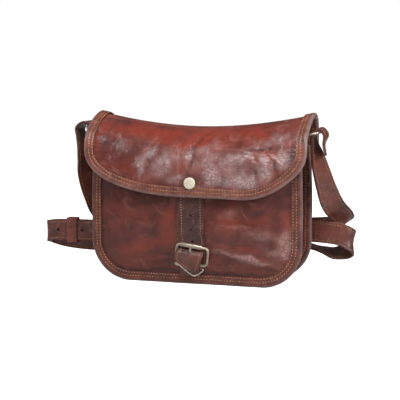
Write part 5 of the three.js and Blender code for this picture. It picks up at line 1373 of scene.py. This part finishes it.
turn_faces_out()
bpy.ops.object.shade_smooth_by_angle(angle=math.radians(40))
roller.data.materials.append(NICKEL)
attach(roller, "root")
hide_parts("buckle_roller")


def softened(node, name, material, width, segments=3):
    """A stiff small piece: the frame's own shape with its sharp edges rounded over."""
    source = bpy.data.objects[node]
    piece = source.copy()
    piece.data = source.data.copy()
    piece.name = piece.data.name = name
    bpy.context.scene.collection.objects.link(piece)
    bpy.ops.object.select_all(action="DESELECT")
    piece.select_set(True)
    bpy.context.view_layer.objects.active = piece
    bpy.ops.object.mode_set(mode="EDIT")
    bpy.ops.mesh.select_all(action="SELECT")
    bpy.ops.mesh.remove_doubles(threshold=0.00002)
    bpy.ops.mesh.dissolve_limited(angle_limit=math.radians(1))
    bpy.ops.object.mode_set(mode="OBJECT")
    soften_edges(piece, width * MM, segments, 38)
    bpy.ops.object.shade_smooth_by_angle(angle=math.radians(45))
    piece.data.materials.clear()
    piece.data.materials.append(material)
    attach(piece, "root")
    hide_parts(node)


chape_leather = waxed_leather("chape_hide", (0.16, 0.055, 0.03), (0.07, 0.026, 0.018), (0.26, 0.12, 0.07),
                              gloss=0.5, coat=0.1, clouds=90.0)
softened("buckle_chape", "buckle_chape_fold", chape_leather, 0.25)
softened("buckle_prong", "buckle_prong_bar", NICKEL, 0.15, 2)

# Press stud.
# A pale plated cap, slightly domed, holds the flap down. Its shank goes through flap and strap to a disc.
STUD_RADIUS, STUD_THICKNESS, STUD_SHANK = 6.35, 2.2, 1.6
stud_cap_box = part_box("stud_cap")
cap_front, cap_back = stud_cap_box[0].y, stud_cap_box[1].y
bpy.ops.object.select_all(action="DESELECT")
bpy.ops.mesh.primitive_cylinder_add(vertices=56, radius=STUD_RADIUS * MM, depth=STUD_THICKNESS * MM)
stud = bpy.context.object
stud.name = stud.data.name = "stud_cap_plate"
bpy.ops.object.mode_set(mode="EDIT")
bpy.ops.mesh.select_mode(type="FACE")
bpy.ops.mesh.select_all(action="DESELECT")
bpy.ops.object.mode_set(mode="OBJECT")
for face in stud.data.polygons:
    face.select = face.normal.z > 0.9
bpy.ops.object.mode_set(mode="EDIT")
bpy.ops.mesh.bevel(offset=1.1 * MM, segments=5, profile=0.6)
bpy.ops.mesh.select_all(action="DESELECT")
bpy.ops.object.mode_set(mode="OBJECT")
for face in stud.data.polygons:
    face.select = face.normal.z > 0.99 and face.center.z > 0.49 * STUD_THICKNESS * MM
bpy.ops.object.mode_set(mode="EDIT")
for _ in range(4):
    bpy.ops.mesh.inset(thickness=1.15 * MM, depth=0.07 * MM)
bpy.ops.mesh.select_all(action="DESELECT")
bpy.ops.object.mode_set(mode="OBJECT")
for face in stud.data.polygons:
    face.select = face.normal.z < -0.9
bpy.ops.object.mode_set(mode="EDIT")
bpy.ops.mesh.extrude_region_move(TRANSFORM_OT_translate={"value": (0, 0, 0)})
bpy.ops.transform.resize(value=(STUD_SHANK / STUD_RADIUS, STUD_SHANK / STUD_RADIUS, 1))
shank = cap_back - cap_front - STUD_THICKNESS * MM
bpy.ops.mesh.extrude_region_move(TRANSFORM_OT_translate={"value": (0, 0, -shank)})
bpy.ops.object.mode_set(mode="OBJECT")
for vertex in stud.data.vertices:
    x, y, z = vertex.co
    top = 0.5 * STUD_THICKNESS * MM + 0.28 * MM
    vertex.co = (x + MIDDLE[0], cap_front + (top - z), y + STUD_HEIGHT * MM)
turn_faces_out()
bpy.ops.object.shade_smooth_by_angle(angle=math.radians(40))
pale_plate = plated_metal("pale_plate", (0.86, 0.8, 0.66), (0.7, 0.62, 0.48), 0.4, metallic=0.5)
stud.data.materials.append(pale_plate)
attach(stud, "root")
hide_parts("stud_cap")
softened("stud_disc", "stud_disc_plate", NICKEL, 0.15, 2)

# Side rings and the folds that hold them.
# A bent wire ring at each side lies in a fold of red-brown hide sewn to the gusset. The strap lifts its
# outer end.
RING_WIRE, RING_RISE, RING_LENGTH, RING_WIDTH = 1.25, 21, 27, 31
RING_INNER, RING_OUTER = 3.6, 4.6
RING_HEIGHT = MOUTH_HEIGHT + RING_RISE
keeper_leather = waxed_leather("keeper_hide", (0.2, 0.046, 0.03), (0.1, 0.026, 0.02), (0.27, 0.095, 0.07),
                               gloss=0.45, coat=0.15, clouds=70.0)
for name, side, lift in (("ring_right", 1, 5.2), ("ring_left", -1, 7.5)):
    near = HALF_WIDTH - SEAM_ALLOWANCE

    def on_ring(reach, y):
        share = lift / RING_LENGTH
        return np.array([side * (near + (reach - near) * math.cos(math.asin(share))), y,
                         RING_HEIGHT + (reach - near) * share])

    far = near + RING_LENGTH
    corners = [(far - RING_OUTER, RING_WIDTH / 2 - RING_OUTER, RING_OUTER, 0),
               (near + RING_INNER, RING_WIDTH / 2 - RING_INNER, RING_INNER, 90),
               (near + RING_INNER, -RING_WIDTH / 2 + RING_INNER, RING_INNER, 180),
               (far - RING_OUTER, -RING_WIDTH / 2 + RING_OUTER, RING_OUTER, 270)]
    wire_piece(name + "_wire", rounded_path(corners, on_ring), RING_WIRE, name)
softened("ring_tab_right", "ring_tab_right_fold", keeper_leather, 0.4)
softened("ring_tab_left", "ring_tab_left_fold", keeper_leather, 0.4)

# Shoulder strap.
# Thick dark hide, sewn along both edges in pale thread. The long half runs from the left ring, behind the
# bag and back, and the short half carries the buckle. Both lie folded together at the left in a keeper.
SHOULDER_WIDTH, SHOULDER_WALL, LAYER_GAP = 25, 2.6, 0.8
BUNDLE_DEPTH = 29
BACK_PLANE = FLAP_BACK + FLAP_NOSE
SHOULDER_INSET = 2.9
# side and out give x: a share of the half width and of the strap's width. depth is a share of the way to
# the bag's back, behind a share of the bundle's depth. up is a share of the bag's height, or hang the
# height over the ring in strap widths. over counts strap layers and spread opens them at a turn.
LEFT_LOOP = [
    dict(side=-1, out=-0.34, depth=0.03, hang=-0.52, w=(0, 1, 0)),
    dict(side=-1, out=-0.31, depth=0, hang=-0.12, w=(0, 1, 0)),
    dict(side=-1, out=-0.31, depth=0, hang=0.25, w=(0, 1, 0)),
    dict(side=-1, out=-0.63, depth=0, hang=0.51, w=(0, 1, 0)),
    dict(side=-1, out=-1.02, depth=0, hang=0.27, w=(0, 1, 0)),
    dict(side=-1, out=-0.96, depth=0.01, hang=-0.19, w=(0.05, 1, 0)),
    dict(side=-1, out=-0.87, depth=0.03, up=0.78, w=(0.2, 0.98, 0)),
    dict(side=-1, out=-0.83, depth=0.11, up=0.71, w=(0.4, 0.9, 0)),
    dict(side=-1, out=-0.86, depth=0.28, up=0.634, w=(0.6, 0.8, 0)),
    dict(side=-1, out=-0.87, depth=0.56, up=0.545, w=(0.7, 0.71, 0.05)),
    dict(side=-1, out=-0.86, depth=0.88, up=0.462, w=(0.72, 0.65, 0.15)),
]
LOW_LEG = [
    dict(side=-1, out=-0.83, depth=1, behind=0.25, up=0.386, w=(0.72, 0.6, 0.25)),
    dict(side=-1, out=-0.7, depth=1, behind=0.63, up=0.335, w=(0.5, 0.45, 0.75)),
    dict(side=-1, out=-0.2, depth=1, behind=0.92, up=0.3, w=(0.2, 0.15, 0.96)),
    dict(side=-0.87, out=0, depth=1, behind=1, up=0.283, w=(0.05, 0.03, 1)),
    dict(side=-0.67, out=0, depth=1, behind=1, up=0.27, w=(0, 0, 1)),
    dict(side=-0.33, out=0, depth=1, behind=1, up=0.248, w=(0, 0, 1)),
    dict(side=0, out=0, depth=1, behind=1, up=0.232, w=(0, 0.05, 1)),
    dict(side=0.33, out=0, depth=1, behind=0.98, up=0.22, w=(0, 0.2, 0.97)),
    dict(side=0.62, out=0, depth=1, behind=0.95, up=0.207, w=(0, 0.6, 0.8)),
    dict(side=0.83, out=0, depth=1, behind=0.93, up=0.19, w=(0, 0.97, 0.2)),
    dict(side=0.96, out=0, depth=1, behind=0.93, up=0.174, w=(0, 1, 0)),
    dict(side=1, out=0.32, depth=1, behind=0.93, up=0.158, w=(0, 1, 0.1)),
    dict(side=1, out=0.8, depth=1, behind=0.93, up=0.143, w=(0, 0.95, 0.35)),
    dict(side=1, out=1.2, depth=1, behind=0.9, up=0.156, w=(0, 0.8, 0.6)),
    dict(side=1, out=1.5, depth=1, behind=0.8, up=0.179, w=(-0.1, 0.5, 0.85)),
    dict(side=1, out=1.68, depth=1, behind=0.6, up=0.213, w=(0, 0.2, 1)),
    dict(side=1, out=1.6, depth=1, behind=0.4, up=0.244, w=(0, 0.05, 1)),
    dict(side=1, out=1.28, depth=1, behind=0.27, up=0.27, w=(0, 0, 1)),
    dict(side=1, out=0.8, depth=1, behind=0.25, up=0.282, w=(0, 0, 1)),
    dict(side=0.8, out=0, depth=1, behind=0.18, over=0.96, up=0.288, w=(0, 0, 1)),
    dict(side=0, out=0, depth=1, behind=0.18, over=0.96, up=0.26, w=(0, 0, 1)),
    dict(side=-0.6, out=0, depth=1, behind=0.18, over=0.96, up=0.241, w=(0, 0, 1)),
    dict(side=-0.8, out=0, depth=1, behind=0.18, over=0.96, up=0.239, w=(0, 0, 1)),
    dict(side=-0.93, out=0, depth=1, behind=0.18, over=0.98, up=0.2375, w=(0, 0, 1)),
    dict(side=-1, out=-0.08, depth=1, behind=0.18, over=0.86, up=0.237, w=(0, 0, 1)),
    dict(side=-1, out=-0.32, depth=1, behind=0.18, over=0, up=0.2365, w=(0, 0, 1)),
    dict(side=-1, out=-0.56, depth=1, behind=0.18, over=-0.86, up=0.236, w=(0, 0, 1)),
    dict(side=-1, out=-0.75, depth=1, behind=0.18, over=-0.98, up=0.2355, w=(0, 0, 1)),
]
LEFT_TURN = [
    dict(side=-1, out=-1.2, depth=1, behind=0.18, up=0.235, w=(0, 0, 1)),
    dict(side=-1, out=-2, depth=1, behind=0.18, up=0.234, w=(0, 0, 1)),
    dict(side=-1, out=-3.02, depth=1, behind=0.18, up=0.23, spread=1.1, w=(0, 0, 1)),
    dict(side=-1, out=-3.3, depth=1, behind=0.3, up=0.221, spread=1.4, w=(0, 0, 1)),
    dict(side=-1, out=-3.38, depth=1, behind=0.47, up=0.207, spread=1.45, w=(0, 0, 1)),
    dict(side=-1, out=-3.24, depth=1, behind=0.64, up=0.19, spread=1.4, w=(0, 0, 1)),
    dict(side=-1, out=-2.88, depth=1, behind=0.72, up=0.174, spread=1.3, w=(0, 0, 1)),
    dict(side=-1, out=-2.2, depth=1, behind=0.75, up=0.162, spread=1.1, w=(0, 0, 1)),
    dict(side=-1, out=-1.6, depth=1, behind=0.75, up=0.158, w=(0, 0, 1)),
]
SHORT_START = [
    dict(side=-1, out=-0.78, depth=1, behind=0.18, up=0.2355, w=(0, 0, 1)),
]
FAR_LEG = [
    dict(side=-1, out=-0.9, depth=1, behind=0.75, up=0.158, w=(0, 0, 1)),
    dict(side=-1, out=0, depth=1, behind=0.75, up=0.168, w=(0, 0, 1)),
    dict(side=-0.5, out=0, depth=1, behind=0.73, up=0.2, w=(0, 0, 1)),
    dict(side=0, out=0, depth=1, behind=0.72, up=0.237, w=(0, 0, 1)),
    dict(side=0.5, out=0, depth=1, behind=0.7, up=0.27, w=(0, 0, 1)),
    dict(side=0.92, out=0, depth=1, behind=0.71, up=0.293, w=(0, 0, 1)),
    dict(side=1, out=0.48, depth=1, behind=0.76, up=0.301, w=(0, 0.05, 1)),
    dict(side=1, out=0.96, depth=1, behind=0.81, up=0.309, w=(0.15, 0.3, 0.94)),
    dict(side=1, out=1.25, depth=1, behind=0.77, up=0.328, w=(0.5, 0.62, 0.6)),
    dict(side=1, out=1.27, depth=1, behind=0.6, up=0.366, w=(0.85, 0.3, 0.3)),
    dict(side=1, out=1.13, depth=1, behind=0.36, up=0.403, w=(0.93, 0.25, 0.2)),
    dict(side=1, out=0.97, depth=1, behind=0.02, up=0.441, w=(0.85, 0.4, 0.25)),
]
RIGHT_LOOP = [
    dict(side=1, out=0.83, depth=0.74, up=0.495, w=(0.74, 0.62, 0.18)),
    dict(side=1, out=0.7, depth=0.45, up=0.573, w=(0.6, 0.79, 0.1)),
    dict(side=1, out=0.58, depth=0.22, up=0.653, w=(0.52, 0.86, 0.04)),
    dict(side=1, out=0.49, depth=0.12, up=0.708, w=(0.46, 0.89, 0)),
    dict(side=1, out=0.39, depth=0.05, up=0.77, w=(0.32, 0.95, 0)),
    dict(side=1, out=0.31, depth=0.01, hang=-0.4, w=(0.1, 1, 0)),
    dict(side=1, out=0.28, depth=0, hang=0.06, w=(0, 1, 0)),
    dict(side=1, out=0.54, depth=0, hang=0.36, w=(0, 1, 0)),
    dict(side=1, out=0.78, depth=0, hang=0.1, w=(0, 1, 0)),
    dict(side=1, out=0.7, depth=0, hang=-0.32, w=(-0.14, 0.99, 0)),
    dict(side=1, out=0.78, depth=0, hang=-0.78, w=(-0.2, 0.98, 0)),
]


def strap_frames(parts, steps=9):
    """Frames from the tables, each with the strap layer in which its rows lie."""
    places, widths, layers = [], [], []
    for rows, layer in parts:
        for row in rows:
            height = row["up"] * BAG_HEIGHT if "up" in row else RING_HEIGHT + row["hang"] * SHOULDER_WIDTH
            depth = row["depth"] * BACK_PLANE + row.get("behind", 0) * BUNDLE_DEPTH
            places.append(np.array([row["side"] * HALF_WIDTH + row["out"] * SHOULDER_WIDTH, depth, height]))
            widths.append(np.array(row["w"], dtype=float))
            layers.append(row.get("over", layer * row.get("spread", 1)))
    stations = []
    for i, (place, width, layer) in enumerate(zip(places, widths, layers)):
        tangent = places[min(i + 1, len(places) - 1)] - places[max(i - 1, 0)]
        normal = np.cross(tangent / np.linalg.norm(tangent), width)
        normal /= np.linalg.norm(normal)
        place = place + normal * layer * (SHOULDER_WALL + LAYER_GAP)
        stations.append((place, width, -SHOULDER_WIDTH / 2, SHOULDER_WIDTH / 2))
    return ribbon_frames(stations, steps)


shoulder_leather = waxed_leather("shoulder_hide", (0.14, 0.036, 0.023), (0.055, 0.018, 0.015),
                                 (0.2, 0.1, 0.08), gloss=0.4, coat=0.1, clouds=30.0, streaks=85.0, grain=0.5,
                                 rows=(-SHOULDER_WIDTH / 2 + SHOULDER_INSET,
                                       SHOULDER_WIDTH / 2 - SHOULDER_INSET))
long_frames = strap_frames([(LEFT_LOOP, 0), (LOW_LEG, 0), (LEFT_TURN, -1)])
short_frames = strap_frames([(SHORT_START, 0), (LEFT_TURN, 0), (FAR_LEG, 0), (RIGHT_LOOP, 0)])


def nearest(frames, point):
    return int(np.argmin(np.linalg.norm(frames["place"] - np.array(point), axis=1)))


turn_depth = BACK_PLANE + 0.18 * BUNDLE_DEPTH
turn_height = 0.2345 * BAG_HEIGHT
long_spots = []
for hole in range(5):
    x = -HALF_WIDTH - SHOULDER_WIDTH * 2.84 + hole * HOLE_PITCH
    i = nearest(long_frames, (x, turn_depth - SHOULDER_WALL, turn_height))
    long_spots.append(((x, *long_frames["place"][i][1:]), tuple(long_frames["normal"][i])))
i = nearest(short_frames, (HALF_WIDTH + SHOULDER_WIDTH * 0.3, 0, 0.924 * RING_HEIGHT))
short_spots = [(tuple(short_frames["place"][i]), tuple(short_frames["normal"][i]))]
for name, node, frames, spots, seed in (
        ("shoulder_strap_long", "strap_long", long_frames, long_spots, 61),
        ("shoulder_strap_short", "strap_short", short_frames, short_spots, 67)):
    strap = ribbon(name, frames, SHOULDER_WALL, 0.5, columns=12, crumple=0.14, seed=seed)
    strap.data.materials.append(shoulder_leather)
    strap.data.materials.append(RAW_EDGE)
    punch(strap, spots, HOLE_DIAMETER)
    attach(strap, "root")
    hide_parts(node)
    stitches = sew(node + "_stitches", ribbon_rows(frames, SHOULDER_WALL, SHOULDER_INSET), seed=seed)
softened("strap_keeper", "strap_keeper_loop", keeper_leather, 0.5)
softened("strap_buckle", "strap_buckle_frame", NICKEL, 0.4)
